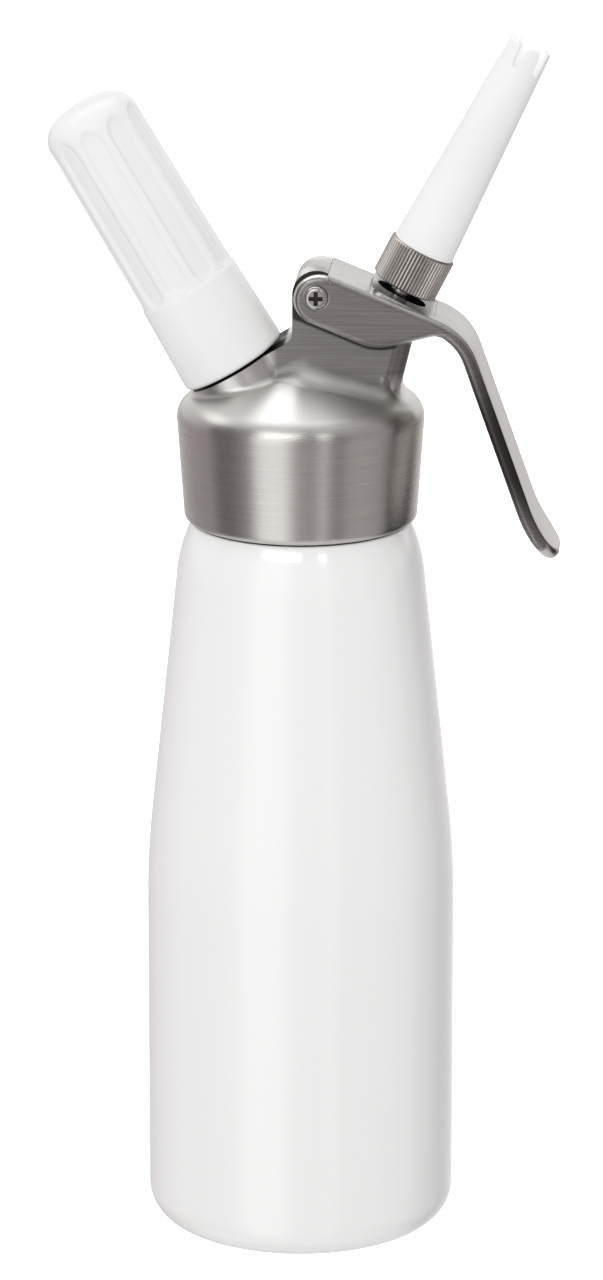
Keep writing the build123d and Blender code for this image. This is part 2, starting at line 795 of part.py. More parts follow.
with BuildPart() as push_collar:
    with BuildSketch(stem_plane.offset(collar_bottom)):
        Circle(collar_d / 2)
    extrude(amount=collar_t)
    chamfer(push_collar.edges(), collar_edge)
    with BuildSketch(stem_plane.offset(collar_bottom)):
        Circle(stem_r + running_fit)
    extrude(amount=collar_t, mode=Mode.SUBTRACT)
push_collar.part.label = "push_collar"
export_step(push_collar.part, "parts/push_collar.step")

with BuildPart() as valve_seal:
    with BuildSketch(stem_plane.offset(seal_bottom)):
        Circle(seal_d / 2)
        Circle(spigot_thread_d / 2 + running_fit, mode=Mode.SUBTRACT)
    extrude(amount=seal_t)
valve_seal.part.label = "valve_seal"
export_step(valve_seal.part, "parts/valve_seal.step")

with BuildPart() as seal_washer:
    with BuildSketch(stem_plane.offset(seal_washer_bottom)):
        Circle(seal_washer_d / 2)
        Circle(spigot_thread_d / 2 + running_fit, mode=Mode.SUBTRACT)
    extrude(amount=seal_washer_t)
seal_washer.part.label = "seal_washer"
export_step(seal_washer.part, "parts/seal_washer.step")

with BuildPart() as stem_nut:
    with BuildSketch(stem_plane.offset(stem_nut_bottom)):
        RegularPolygon(stem_nut_width / 2, 6, major_radius=False)
        Circle(spigot_thread_d / 2 + running_fit, mode=Mode.SUBTRACT)
    extrude(amount=stem_nut_t)
stem_nut.part.label = "stem_nut"
export_step(stem_nut.part, "parts/stem_nut.step")

# Nozzle
ring_r = ring_d / 2
ring_bore_r = stem_top_r + free_gap

with BuildPart() as nozzle_ring:
    with BuildSketch(stem_plane.offset(ring_bottom)):
        Circle(ring_r)
    extrude(amount=ring_height)
    chamfer(nozzle_ring.edges(), ring_edge)
    with BuildSketch(stem_plane.offset(ring_bottom)):
        with PolarLocations(ring_r, knurl_count):
            Rectangle(knurl_depth * sqrt(2), knurl_depth * sqrt(2), rotation=45)
    extrude(amount=ring_height, mode=Mode.SUBTRACT)
    with BuildSketch(stem_plane.offset(ring_bottom)):
        Circle(ring_bore_r)
    extrude(amount=ring_height, mode=Mode.SUBTRACT)
    with BuildSketch(stem_plane.offset(tip_plug_z)):
        Circle(tip_plug_d / 2 + running_fit)
    extrude(amount=ring_top - tip_plug_z, mode=Mode.SUBTRACT)
nozzle_ring.part.label = "nozzle_ring"
export_step(nozzle_ring.part, "parts/nozzle_ring.step")

with BuildPart() as nozzle_gasket:
    with BuildSketch(stem_plane.offset(nozzle_gasket_z)):
        Circle(stem_top_r)
        Circle(stem_bore_d / 2 + free_gap, mode=Mode.SUBTRACT)
    extrude(amount=nozzle_gasket_t)
nozzle_gasket.part.label = "nozzle_gasket"
export_step(nozzle_gasket.part, "parts/nozzle_gasket.step")

tip_base_r = tip_base_d / 2
tip_top_r = tip_base_r - tip_length * tan(radians(tip_taper))
tooth_root_z = tip_top - tooth_depth + tooth_gap_root / 2


def crown_plane(angle):
    """Plane that holds the stem's axis, turned round it from the lever's side."""
    across = stem_plane.x_dir * cos(radians(angle)) + stem_plane.y_dir * sin(radians(angle))
    return Plane(stem_origin, x_dir=across, z_dir=across.cross(stem_plane.z_dir))


with BuildPart() as nozzle_tip:
    # The profile stands in the middle of a tooth, so its seam keeps clear of the gaps
    with BuildSketch(crown_plane(tooth_turn + 180 / tooth_count)):
        with BuildLine():
            Polyline(
                (tip_inlet_d / 2, tip_plug_z),
                (tip_plug_d / 2, tip_plug_z),
                (tip_plug_d / 2, ring_top),
                (tip_base_r, ring_top),
                (tip_top_r, tip_top),
                (tip_top_r - tip_wall, tip_top),
                (tip_base_r - tip_wall, ring_top + tip_floor_t),
                (tip_inlet_d / 2, tip_plug_z + tip_floor_t),
                close=True,
            )
        make_face()
    revolve(axis=stem_axis)
    for gap in range(tooth_count // 2):
        with BuildSketch(crown_plane(tooth_turn + gap * 360 / tooth_count)):
            with BuildLine():
                ThreePointArc(
                    (-tooth_gap_root / 2, tooth_root_z),
                    (0, tooth_root_z - tooth_gap_root / 2),
                    (tooth_gap_root / 2, tooth_root_z),
                )
                Polyline(
                    (tooth_gap_root / 2, tooth_root_z),
                    (tooth_gap_mouth / 2, tip_top),
                    (-tooth_gap_mouth / 2, tip_top),
                    (-tooth_gap_root / 2, tooth_root_z),
                )
            make_face()
        extrude(amount=tip_base_r, both=True, mode=Mode.SUBTRACT)
    tooth_tips = nozzle_tip.faces().filter_by(GeomType.PLANE).group_by(stem_axis)[-1]
    fillet(tooth_tips.edges().filter_by(GeomType.LINE), tooth_tip_r)
nozzle_tip.part.label = "nozzle_tip"
export_step(nozzle_tip.part, "parts/nozzle_tip.step")

# Lever outline in its own section: x runs along the web from the pivot, y square to it
half_width = lever_width / 2
knee_turn = 90 - handle_lean - lever_slope
knee_centre = (knee_reach - knee_r * tan(radians(knee_turn / 2)), block_crown_r - knee_r)
handle_start = polar(knee_centre, knee_r, 90 - knee_turn)
handle_end = polar(handle_start, handle_length, -knee_turn)
curl_start = 270 - knee_turn
curl_centre = polar(handle_end, curl_r, curl_start - 180)
tip_angle = curl_start + curl_turn
tip_middle = polar(curl_centre, curl_r + handle_t / 2, tip_angle)
web_lean = radians(nozzle_tilt - lever_slope)
web_flat_end = stem_arm + collar_d / 2 + free_gap
pad_top = web_height(stem_arm, block_crown_r, 0) + pad_rise
cheek_low = cheek_r + cheek_drop
belly_centre = (belly_start, belly_r - cheek_low)
belly_angle = lever_slope + belly_rise
belly_end = polar(belly_centre, belly_r, belly_angle - 90)
cheek_tail = polar(
    belly_end,
    (block_crown_r - handle_t / 2 - belly_end[1]) / sin(radians(belly_angle)),
    belly_angle,
)

# Slot for the stem: clear of it at rest on the far side and at full squeeze on the pivot's side
squeeze = radians(squeeze_angle)
slot_near = (stem_arm - stem_top_r - free_gap - pad_top * sin(squeeze)) / cos(squeeze) - slot_near_room
slot_far = stem_arm + stem_top_r + free_gap + slot_far_room
slot_shift = (slot_near + slot_far) / 2 - stem_arm


def web_lead(up):
    """Point on the web's end, which stays parallel to the stem's axis."""
    return (up * tan(web_lean) + web_lead_gap, up)


with BuildPart() as lever:
    with BuildSketch(lever_section):
        with BuildLine():
            Line(web_lead(block_crown_r), (knee_centre[0], block_crown_r))
            CenterArc(knee_centre, knee_r, 90, -knee_turn)
            Line(handle_start, handle_end)
            CenterArc(curl_centre, curl_r, curl_start, curl_turn)
            Line(polar(curl_centre, curl_r, tip_angle), polar(curl_centre, curl_r + handle_t, tip_angle))
            CenterArc(curl_centre, curl_r + handle_t, tip_angle, -curl_turn)
            Line(
                polar(curl_centre, curl_r + handle_t, curl_start),
                polar(knee_centre, knee_r - handle_t, 90 - knee_turn),
            )
            CenterArc(knee_centre, knee_r - handle_t, 90 - knee_turn, knee_turn)
            Polyline(
                (knee_centre[0], block_crown_r - handle_t),
                (web_flat_end, web_under),
                web_lead(web_under),
                web_lead(block_crown_r),
            )
        make_face()
    extrude(amount=half_width, both=True)
    for cheek_side in (half_width - cheek_t, -half_width):
        with BuildSketch(lever_section.offset(cheek_side)):
            with BuildLine():
                CenterArc((cheek_shift, -cheek_drop), cheek_r, 90, 180)
                Line((cheek_shift, -cheek_low), (belly_start, -cheek_low))
                CenterArc(belly_centre, belly_r, -90, belly_angle)
                Polyline(
                    belly_end,
                    cheek_tail,
                    (knee_centre[0], block_crown_r),
                    (cheek_r, block_crown_r),
                    (cheek_shift, cheek_r - cheek_drop),
                )
            make_face()
        extrude(amount=cheek_t)
    for tip_side in (half_width, -half_width):
        tip_point = lever_section.from_local_coords((tip_middle[0], tip_middle[1], tip_side))
        fillet(lever.edges().sort_by_distance(tip_point)[0], tip_corner_r)
        tail_point = lever_section.from_local_coords((cheek_tail[0], cheek_tail[1], tip_side))
        tail_edges = lever.edges().filter_by(Axis.Y).filter_by(lambda edge: edge.length < 2 * cheek_t)
        fillet(tail_edges.sort_by_distance(tail_point)[0], tail_hollow_r)
    side_faces = lever.faces().sort_by(Axis.Y)
    fillet(side_faces[0].edges() + side_faces[-1].edges(), lever_edge_r)
    # Pad under the nozzle ring, square to the stem, then the stem's slot, pivot holes and screw recesses
    with BuildSketch(stem_plane.offset(pad_top)) as pad:
        with Locations((pad_shift, 0)):
            RectangleRounded(pad_length, lever_width - 2 * pad_inset, pad_corner_r)
    extrude(amount=-(pad_rise + web_t / 2))
    extrude(pad.sketch, amount=ring_bottom - pad_top, mode=Mode.SUBTRACT)
    with BuildSketch(stem_plane.offset(collar_top)):
        with Locations((slot_shift, 0)):
            SlotOverall(slot_far - slot_near, stem_top_d + 2 * slot_side_gap)
    extrude(amount=ring_bottom - collar_top, mode=Mode.SUBTRACT)
    with BuildSketch(pivot_plane):
        Circle(sleeve_d / 2 + running_fit)
    extrude(amount=half_width, both=True, mode=Mode.SUBTRACT)
    for recess_side in (half_width - screw_recess_depth, -half_width):
        with BuildSketch(pivot_plane.offset(recess_side)):
            Circle(screw_head_d / 2 + free_gap)
        extrude(amount=screw_recess_depth, mode=Mode.SUBTRACT)
lever.part.label = "lever"
export_step(lever.part, "parts/lever.step")

# Pivot: barrel from the far side, screw from the near side, washers beside the tongue
head_seat = half_width - screw_recess_depth + face_gap

with BuildPart() as pivot_sleeve:
    with BuildSketch(pivot_plane.offset(-head_seat)):
        Circle(sleeve_flange_d / 2)
    extrude(amount=-sleeve_flange_t)
    with BuildSketch(pivot_plane.offset(-head_seat)):
        Circle(sleeve_d / 2)
    extrude(amount=2 * (half_width - screw_recess_depth))
    with BuildSketch(pivot_plane.offset(head_seat)):
        Circle(pivot_thread_d / 2 + running_fit)
    extrude(amount=-screw_shank_length - free_gap, mode=Mode.SUBTRACT)
pivot_sleeve.part.label = "pivot_sleeve"
export_step(pivot_sleeve.part, "parts/pivot_sleeve.step")

with BuildPart() as pivot_screw:
    with BuildSketch(pivot_plane.offset(head_seat)):
        Circle(screw_head_d / 2)
    extrude(amount=screw_head_t)
    fillet(pivot_screw.faces().sort_by(Axis.Y)[0].edges(), screw_dome_r)
    with BuildSketch(pivot_plane.offset(head_seat + screw_head_t)):
        Rectangle(cross_length, cross_width)
        Rectangle(cross_width, cross_length)
    extrude(amount=-cross_depth, mode=Mode.SUBTRACT)
    with BuildSketch(pivot_plane.offset(head_seat)):
        Circle(pivot_thread_d / 2)
    extrude(amount=-screw_shank_length)
pivot_screw.part.label = "pivot_screw"
export_step(pivot_screw.part, "parts/pivot_screw.step")

with BuildPart() as pivot_washers:
    for washer_side in (block_width / 2 + face_gap, -block_width / 2 - face_gap - washer_t):
        with BuildSketch(pivot_plane.offset(washer_side)):
            Circle(washer_d / 2)
            Circle(sleeve_d / 2 + running_fit, mode=Mode.SUBTRACT)
        extrude(amount=washer_t)
pivot_washers.part.label = "pivot_washers"
export_step(pivot_washers.part, "parts/pivot_washers.step")
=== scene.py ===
from math import atan2, cos, hypot, pi, radians, sin, tan

import bmesh
import bpy
import numpy as np
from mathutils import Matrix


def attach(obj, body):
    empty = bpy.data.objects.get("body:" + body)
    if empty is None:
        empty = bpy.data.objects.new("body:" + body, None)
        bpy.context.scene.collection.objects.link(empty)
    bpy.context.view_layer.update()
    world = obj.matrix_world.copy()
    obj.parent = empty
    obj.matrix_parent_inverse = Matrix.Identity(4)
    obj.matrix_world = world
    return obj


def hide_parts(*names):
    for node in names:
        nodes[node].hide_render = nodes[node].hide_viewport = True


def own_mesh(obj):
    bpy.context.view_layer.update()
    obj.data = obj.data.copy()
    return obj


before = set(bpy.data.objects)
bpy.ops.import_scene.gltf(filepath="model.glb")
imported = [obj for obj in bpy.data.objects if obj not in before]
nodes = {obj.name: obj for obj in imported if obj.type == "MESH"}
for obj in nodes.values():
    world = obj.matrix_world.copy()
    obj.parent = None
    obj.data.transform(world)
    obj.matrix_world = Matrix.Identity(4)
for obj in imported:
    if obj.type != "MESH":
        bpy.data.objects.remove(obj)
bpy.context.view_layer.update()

milli = 0.001  # shapes are worked out in millimetres and put into the mesh in metres
mergeWithin = 1e-7  # metres
# axes: a point on each in millimetres, and its lean from Z towards +X in degrees
upright = {"origin": (0, 0, 0), "tilt": 0}
chargerAxis = {"origin": (-16.68, 0, 230.128), "tilt": -30.6}
stemAxis = {"origin": (21.48585, 0, 242.07487), "tilt": 27.0}
print("frame loaded:", len(nodes), "nodes")


class Wire:  # wraps a shader socket: Python's operators add Math nodes, and node() makes every other node
    def __init__(self, tree, socket=None):
        self.tree = tree
        self.socket = socket

    def node(self, kind, settings=(), inputs=(), output=0):  # settings first, then values or links
        made = self.tree.nodes.new(kind)
        for key, value in dict(settings).items():
            if key == "stops":
                ramp = made.color_ramp.elements
                while len(ramp) < len(value):
                    ramp.new(0.5)
                for element, (position, colour) in zip(ramp, value):
                    element.position = position
                    element.color = colour
            else:
                setattr(made, key, value)
        for key, value in dict(inputs).items():
            if isinstance(value, Wire):
                self.tree.links.new(value.socket, made.inputs[key])
            else:
                made.inputs[key].default_value = value
        return Wire(self.tree, made.outputs[output] if made.outputs else None)

    def maths(self, operation, first, second):
        return self.node("ShaderNodeMath", {"operation": operation}, {0: first, 1: second})

    def __add__(self, other):
        return self.maths("ADD", self, other)

    def __radd__(self, other):
        return self.maths("ADD", other, self)

    def __sub__(self, other):
        return self.maths("SUBTRACT", self, other)

    def __rsub__(self, other):
        return self.maths("SUBTRACT", other, self)

    def __mul__(self, other):
        return self.maths("MULTIPLY", self, other)

    def __rmul__(self, other):
        return self.maths("MULTIPLY", other, self)

    def size(self):  # without its sign
        return self.node("ShaderNodeMath", {"operation": "ABSOLUTE"}, {0: self})

    def root(self):
        return self.maths("POWER", self, 0.5)

    def atLeast(self, low):
        return self.maths("MAXIMUM", self, low)

    def part(self, axis):  # one coordinate of a place or direction
        return self.node("ShaderNodeSeparateXYZ", inputs={0: self}, output=axis)

    def between(self, low, high):  # 0 below low, 1 above high, eased between
        settings = {"interpolation_type": "SMOOTHSTEP"}
        return self.node("ShaderNodeMapRange", settings, {"Value": self, "From Min": low, "From Max": high})

    def mix(self, first, second):  # this value carries one colour into the other
        settings = {"data_type": "RGBA"}
        return self.node("ShaderNodeMix", settings, {0: self, 6: first, 7: second}, 2)

    def noise(self, stretch, turn=(0, 0, 0), detail=3.0):  # stretch counts the pattern per metre on x, y, z
        laid = self.node("ShaderNodeMapping", inputs={"Vector": self, "Rotation": turn, "Scale": stretch})
        settings = {"noise_dimensions": "3D"}
        return self.node("ShaderNodeTexNoise", settings, {"Vector": laid, "Scale": 1.0, "Detail": detail})

    def bump(self, strength, distance):
        inputs = {"Height": self, "Strength": strength, "Distance": distance}
        return self.node("ShaderNodeBump", inputs=inputs)


def newFinish(name):  # an empty material, and its Object coordinates
    material = bpy.data.materials.new(name)
    material.use_nodes = True
    material.node_tree.nodes.clear()
    return material, Wire(material.node_tree).node("ShaderNodeTexCoord", output="Object")


def coverWith(place, sockets):  # a Principled shader with these values and wires
    shader = place.node("ShaderNodeBsdfPrincipled", inputs=sockets)
    place.node("ShaderNodeOutputMaterial", inputs={"Surface": shader})


def grey(level, warmth=0.0):  # a linear grey, a little warmer with warmth
    return (level * (1 + warmth), level, level * (1 - warmth), 1.0)


def inMillimetres(place):
    return [place.part(axis) * 1000 for axis in range(3)]


def aboutAxis(place, axis):  # mm along a leaning axis, out from it in the plane of its lean, and sideways
    x, y, z = inMillimetres(place)
    startX, _, startZ = axis["origin"]
    lean = radians(axis["tilt"])
    along = (x - startX) * sin(lean) + (z - startZ) * cos(lean)
    out = (x - startX) * cos(lean) - (z - startZ) * sin(lean)
    return along, out, y


paintLook = {
    "tone": 0.89,
    "darker": 0.985,
    "warmth": (0.004, 0.008),  # of the pale and the darker tone
    "rough": 0.09,
    "roughSpread": 0.04,
    "drift": (14, 14, 9),
    "peel": (420, 420, 420),
    "peelDetail": 2.0,
    "peelDepth": 0.035,
    "peelDistance": 0.0004,
    "ior": 1.5,
    "coat": 0.6,
    "coatRough": 0.03,
}


def glossPaint(name, look):  # gloss white stove paint with the faint orange peel of a spray
    material, place = newFinish(name)
    drift = place.noise(look["drift"])
    peel = place.noise(look["peel"], detail=look["peelDetail"])
    pale = grey(look["tone"], look["warmth"][0])
    dark = grey(look["tone"] * look["darker"], look["warmth"][1])
    coverWith(place, {
        "Base Color": drift.mix(pale, dark),
        "Roughness": drift * look["roughSpread"] + look["rough"],
        "Normal": peel.bump(look["peelDepth"], look["peelDistance"]),
        "IOR": look["ior"],
        "Coat Weight": look["coat"],
        "Coat Roughness": look["coatRough"],
    })
    return material


brushForm = {  # what all the brushed finishes share
    "fineShare": 0.6,
    "fineDetail": 4.0,
    "broadShare": 0.4,
    "broadDetail": 2.0,
    "toneRange": (0.3, 0.72),
    "cloud": (26, 26, 26),
    "cloudRough": 0.06,
    "distance": 0.0003,
    "direction": 0.25,  # of a turn
}


def brushedMetal(name, look, shade=None):  # long fine scratches over a slow cloud of roughness
    material, place = newFinish(name)
    fine = place.noise(look["fine"], look["turn"], brushForm["fineDetail"])
    broad = place.noise(look["broad"], look["turn"], brushForm["broadDetail"])
    scratch = fine * brushForm["fineShare"] + broad * brushForm["broadShare"]
    tone = scratch.between(*brushForm["toneRange"]).mix(look["dark"], look["pale"])
    if shade:
        tone = shade(place, tone, scratch)
    cloud = place.noise(brushForm["cloud"])
    rough = scratch * look["roughSpread"] + cloud * brushForm["cloudRough"] + look["rough"]
    if "soften" in look:  # heights in mm between which the finish turns rougher, and by how much
        low, high, more = look["soften"]
        rough = rough + place.part(2).between(low * milli, high * milli) * more
    coverWith(place, {
        "Base Color": tone,
        "Roughness": rough,
        "Normal": scratch.bump(look["depth"], brushForm["distance"]),
        "Metallic": 1.0,
        "Anisotropic": look["anisotropic"],
        "Anisotropic Rotation": brushForm["direction"],
    })
    return material


# a mask fades between the two limits of its pair, in mm, or in shares of the scratches for sideBrush
headLook = {
    "pale": (0.64, 0.63, 0.6, 1.0),
    "dark": (0.55, 0.535, 0.515, 1.0),
    # the dome's paler tone is a painted highlight, the side tones are painted shade, and the near-black is
    # painted shadow
    "dome": (0.74, 0.73, 0.705, 1.0),
    "side": (0.29, 0.275, 0.271, 1.0),
    "sideDark": (0.215, 0.203, 0.2, 1.0),
    "seam": (0.015, 0.014, 0.013, 1.0),
    "rough": 0.2,
    "roughSpread": 0.1,
    "soften": (219.5, 222.5, 0.13),
    "depth": 0.1,
    "anisotropic": 0.85,
    "fine": (90, 90, 9000),
    "broad": (30, 30, 2600),
    "turn": (0, 0, 0),
    "sideFace": (8.8, 9.0),
    "sideEdge": (9.2, 11.5),
    "sideBack": (-8.0, -5.0),
    "sideFoot": (222.0, 227.0),
    "sideBrush": (0.36, 0.64),
    "endBack": (20.5, 22.5),
    "endFoot": (226.0, 231.0),
    "domeFoot": (220.5, 223.5),
    "domeTop": (232.0, 236.0),
    "pivot": (4.699, 250.628),  # x and z
    "cheekSlope": 22.0,
    "bellyCentre": (14.8, 6.0),  # from the pivot, along and across the slope
    "bellyRadius": 13.0,
    "cheekShadowReach": (0.7, 1.5),
    "cheekShadowShare": 0.85,
    "seamFoot": (-0.4, -0.1),
    "seamTop": (1.0, 1.6),
    "seamEnd": (-4.0, -3.0),
}


# painted shade and light: the block's flat sides are painted darker than the turned dome, the dome is painted
# paler as a highlight, and the spigot is painted black as shadow in the gap under its cap
def headShade(place, tone, scratch):
    look = headLook
    x, y, z = inMillimetres(place)
    off = y.size()
    sides = off.between(*look["sideFace"]) * (1 - off.between(*look["sideEdge"]))
    sides = sides * x.between(*look["sideBack"]) * z.between(*look["sideFoot"])
    end = x.between(*look["endBack"]) * z.between(*look["endFoot"])
    flat = scratch.between(*look["sideBrush"]).mix(look["sideDark"], look["side"])
    dome = z.between(*look["domeFoot"]) * (1 - z.between(*look["domeTop"]))
    tone = dome.mix(tone, look["dome"])
    tone = sides.mix(end.mix(tone, flat), flat)
    # painted shadow on the block just under the cheek's lower edge: a line that runs on into the belly's arc
    slope = radians(look["cheekSlope"])
    ahead, above = x - look["pivot"][0], z - look["pivot"][1]
    past = (ahead * cos(slope) - above * sin(slope) - look["bellyCentre"][0]).atLeast(0.0)
    over = ahead * sin(slope) + above * cos(slope) - look["bellyCentre"][1]
    below = (past * past + over * over).root() - look["bellyRadius"]
    cheekShadow = sides * (1 - below.between(*look["cheekShadowReach"]))
    tone = (cheekShadow * look["cheekShadowShare"]).mix(tone, look["seam"])
    # painted shadow: the spigot is near-black in the gap under the holder's cap
    along = aboutAxis(place, chargerAxis)[0]
    seam = along.between(*look["seamFoot"]) * (1 - along.between(*look["seamTop"]))
    seam = seam * (1 - x.between(*look["seamEnd"]))
    return seam.mix(tone, look["seam"])


leverLook = {
    "pale": (0.64, 0.63, 0.605, 1.0),
    "dark": (0.54, 0.525, 0.505, 1.0),
    "side": (0.29, 0.273, 0.269, 1.0),
    "sideDark": (0.225, 0.211, 0.208, 1.0),
    "handleSide": (0.06, 0.055, 0.053, 1.0),
    "pad": (0.26, 0.247, 0.24, 1.0),
    "slot": (0.012, 0.011, 0.01, 1.0),
    "rough": 0.2,
    "roughSpread": 0.14,
    "depth": 0.16,
    "anisotropic": 0.4,
    "fine": (60, 900, 4200),
    "broad": (20, 300, 1400),
    "turn": (0, radians(-22), 0),
    "sideFace": (11.8, 12.2),
    "sideGrain": (45, 45, 3600),
    "sideDetail": 4.0,
    "sideBrush": (0.34, 0.66),
    "handleTop": (215.0, 245.0),
    "handleNarrower": 0.9,
    "handleMiddle": (184.0, 205.0),
    "slotHalf": (4.85, 5.0),
    "slotTop": (7.9, 8.3),
    "slotBack": (-8.0, -7.5),
    "slotFront": (8.3, 8.6),
    "padFoot": (7.8, 8.2),
    "padTop": (8.6, 8.8),
    "padBack": (-7.7, -5.5),
    "padFront": (8.5, 10.1),
    "padHalf": (10.3, 10.6),
}


# the sides are brushed level and carry painted shade, darkest on the handle; the slot is painted black as
# shadow
def leverShade(place, tone, _):
    look = leverLook
    along, out, y = aboutAxis(place, stemAxis)
    z = inMillimetres(place)[2]
    off = y.size()
    handle = 1 - z.between(*look["handleTop"])
    sides = (off + handle * look["handleNarrower"]).between(*look["sideFace"])
    level = place.noise(look["sideGrain"], detail=look["sideDetail"]).between(*look["sideBrush"])
    flat = level.mix(look["sideDark"], look["side"])
    middle = handle * z.between(*look["handleMiddle"])
    tone = sides.mix(tone, middle.mix(flat, look["handleSide"]))
    slot = (1 - off.between(*look["slotHalf"])) * (1 - along.between(*look["slotTop"]))
    slot = slot * out.between(*look["slotBack"]) * (1 - out.between(*look["slotFront"]))
    # painted shade and reflection of the ring: the pad round the slot is darker
    pad = along.between(*look["padFoot"]) * (1 - along.between(*look["padTop"]))
    pad = pad * out.between(*look["padBack"]) * (1 - out.between(*look["padFront"]))
    pad = pad * (1 - off.between(*look["padHalf"]))
    return slot.mix(pad.mix(tone, look["pad"]), look["slot"])


ringLook = {
    "pale": (0.74, 0.7, 0.67, 1.0),
    "dark": (0.58, 0.545, 0.52, 1.0),
    "groove": (0.28, 0.262, 0.25, 1.0),
    "grooveRadius": 8.4,
    "crestRadius": 8.66,
    "rough": 0.3,
    "roughSpread": 0.16,
    "depth": 0.2,
    "anisotropic": 0.0,
    "fine": (1900, 1900, 700),
    "broad": (500, 500, 200),
    "turn": (0, radians(27), 0),
}


def ringShade(place, tone, _):  # painted shade: the knurl is darker in its grooves
    out, off = aboutAxis(place, stemAxis)[1:]
    groove, crest = ringLook["grooveRadius"], ringLook["crestRadius"]
    return (out * out + off * off).between(groove ** 2, crest ** 2).mix(ringLook["groove"], tone)


brightLook = {
    "pale": grey(0.74, 0.01),
    "dark": grey(0.6, 0.01),
    "rough": 0.1,
    "roughSpread": 0.14,
    "depth": 0.1,
    "anisotropic": 0.0,
    "fine": (1500, 1500, 1500),
    "broad": (300, 300, 300),
    "turn": (0, 0, 0),
}
screwLook = brightLook | {
    "pale": grey(0.56, 0.02),
    "dark": grey(0.4, 0.02),
    "cross": (0.05, 0.045, 0.043, 1.0),
    "pivot": (4.699, 250.628),
    "crossReach": (1.85, 1.9),
    "crossDepth": (-13.2, -12.9),
}
# painted shade: the push collar is far darker than bright steel, for the shade in the gap under the nozzle
# ring
collarLook = brightLook | {
    "pale": grey(0.2, 0.02),
    "dark": grey(0.12, 0.02),
    "rough": 0.3,
    "roughSpread": 0.16,
}
steelLook = brightLook | {
    "pale": grey(0.6),
    "dark": grey(0.46),
    "rough": 0.24,
    "roughSpread": 0.16,
    "depth": 0.14,
    "fine": (800, 800, 800),
    "broad": (150, 150, 150),
}
brassLook = brightLook | {
    "pale": (0.82, 0.62, 0.3, 1.0),
    "dark": (0.62, 0.43, 0.18, 1.0),
    "rough": 0.22,
    "roughSpread": 0.2,
    "depth": 0.15,
    "fine": (1200, 1200, 1200),
    "broad": (260, 260, 260),
}
aluminiumLook = {
    "pale": grey(0.78),
    "dark": grey(0.62),
    "rough": 0.26,
    "roughSpread": 0.2,
    "depth": 0.2,
    "anisotropic": 0.3,
    "fine": (70, 70, 3600),
    "broad": (25, 25, 900),
    "turn": (0, 0, 0),
}


def screwShade(place, tone, _):  # painted shade in the cross of the screw's head
    x, y, z = inMillimetres(place)
    across = (x - screwLook["pivot"][0]).size()
    up = (z - screwLook["pivot"][1]).size()
    inside = (1 - across.between(*screwLook["crossReach"])) * (1 - up.between(*screwLook["crossReach"]))
    return (inside * y.between(*screwLook["crossDepth"])).mix(tone, screwLook["cross"])


mouldForm = {  # what all the moulded finishes share
    "drift": (35, 35, 35),
    "driftRange": (0.3, 0.7),
    "grain": (2600, 2600, 2600),
    "grainDetail": 2.0,
    "distance": 0.0002,
}
holderLook = {
    "pale": grey(0.86, 0.002), "dark": grey(0.83, 0.004), "rough": 0.16, "roughSpread": 0.1,
    "depth": 0.03, "ior": 1.49, "shine": 0.3,
}
nozzleLook = {
    "pale": grey(0.87, 0.002), "dark": grey(0.84, 0.005), "rough": 0.38, "roughSpread": 0.12,
    "depth": 0.06, "ior": 1.49, "shine": 0.3,
    "paintedGlow": 0.17,
    "glowDepth": (0.4, 1.3),  # mm under the outer wall
    "baseRadius": 8.1, "baseHeight": 21.822, "taper": 2.35,
}
bushLook = {
    "pale": grey(0.72, 0.03), "dark": grey(0.64, 0.04), "rough": 0.42, "roughSpread": 0.12,
    "depth": 0.05, "ior": 1.45, "shine": 0.5,
}
whiteRubberLook = {
    "pale": grey(0.6, 0.01), "dark": grey(0.5, 0.02), "rough": 0.5, "roughSpread": 0.2,
    "depth": 0.1, "ior": 1.45, "shine": 0.5,
}
blackRubberLook = {
    "pale": grey(0.028), "dark": grey(0.014), "rough": 0.45, "roughSpread": 0.25,
    "depth": 0.12, "ior": 1.5, "shine": 0.5,
}


def insideGlow(place, look):  # where the nozzle's painted glow shows, inside its thin wall: emission that stands for light through the wall
    along, out, off = aboutAxis(place, stemAxis)
    outer = look["baseRadius"] - (along - look["baseHeight"]) * tan(radians(look["taper"]))
    return (outer - (out * out + off * off).root()).between(*look["glowDepth"])


def moulded(name, look):  # moulded plastic or rubber: slow tone drift and a fine sprayed grain
    material, place = newFinish(name)
    drift = place.noise(mouldForm["drift"])
    grain = place.noise(mouldForm["grain"], detail=mouldForm["grainDetail"])
    sockets = {
        "Base Color": drift.between(*mouldForm["driftRange"]).mix(look["pale"], look["dark"]),
        "Roughness": grain * look["roughSpread"] + look["rough"],
        "Normal": grain.bump(look["depth"], mouldForm["distance"]),
        "IOR": look["ior"],
        "Specular IOR Level": look["shine"],
    }
    # a painted glow inside the nozzle: weak emission in place of light through its thin wall
    if "paintedGlow" in look:
        sockets["Emission Color"] = insideGlow(place, look).mix(grey(0), grey(1))
        sockets["Emission Strength"] = look["paintedGlow"]
    coverWith(place, sockets)
    return material


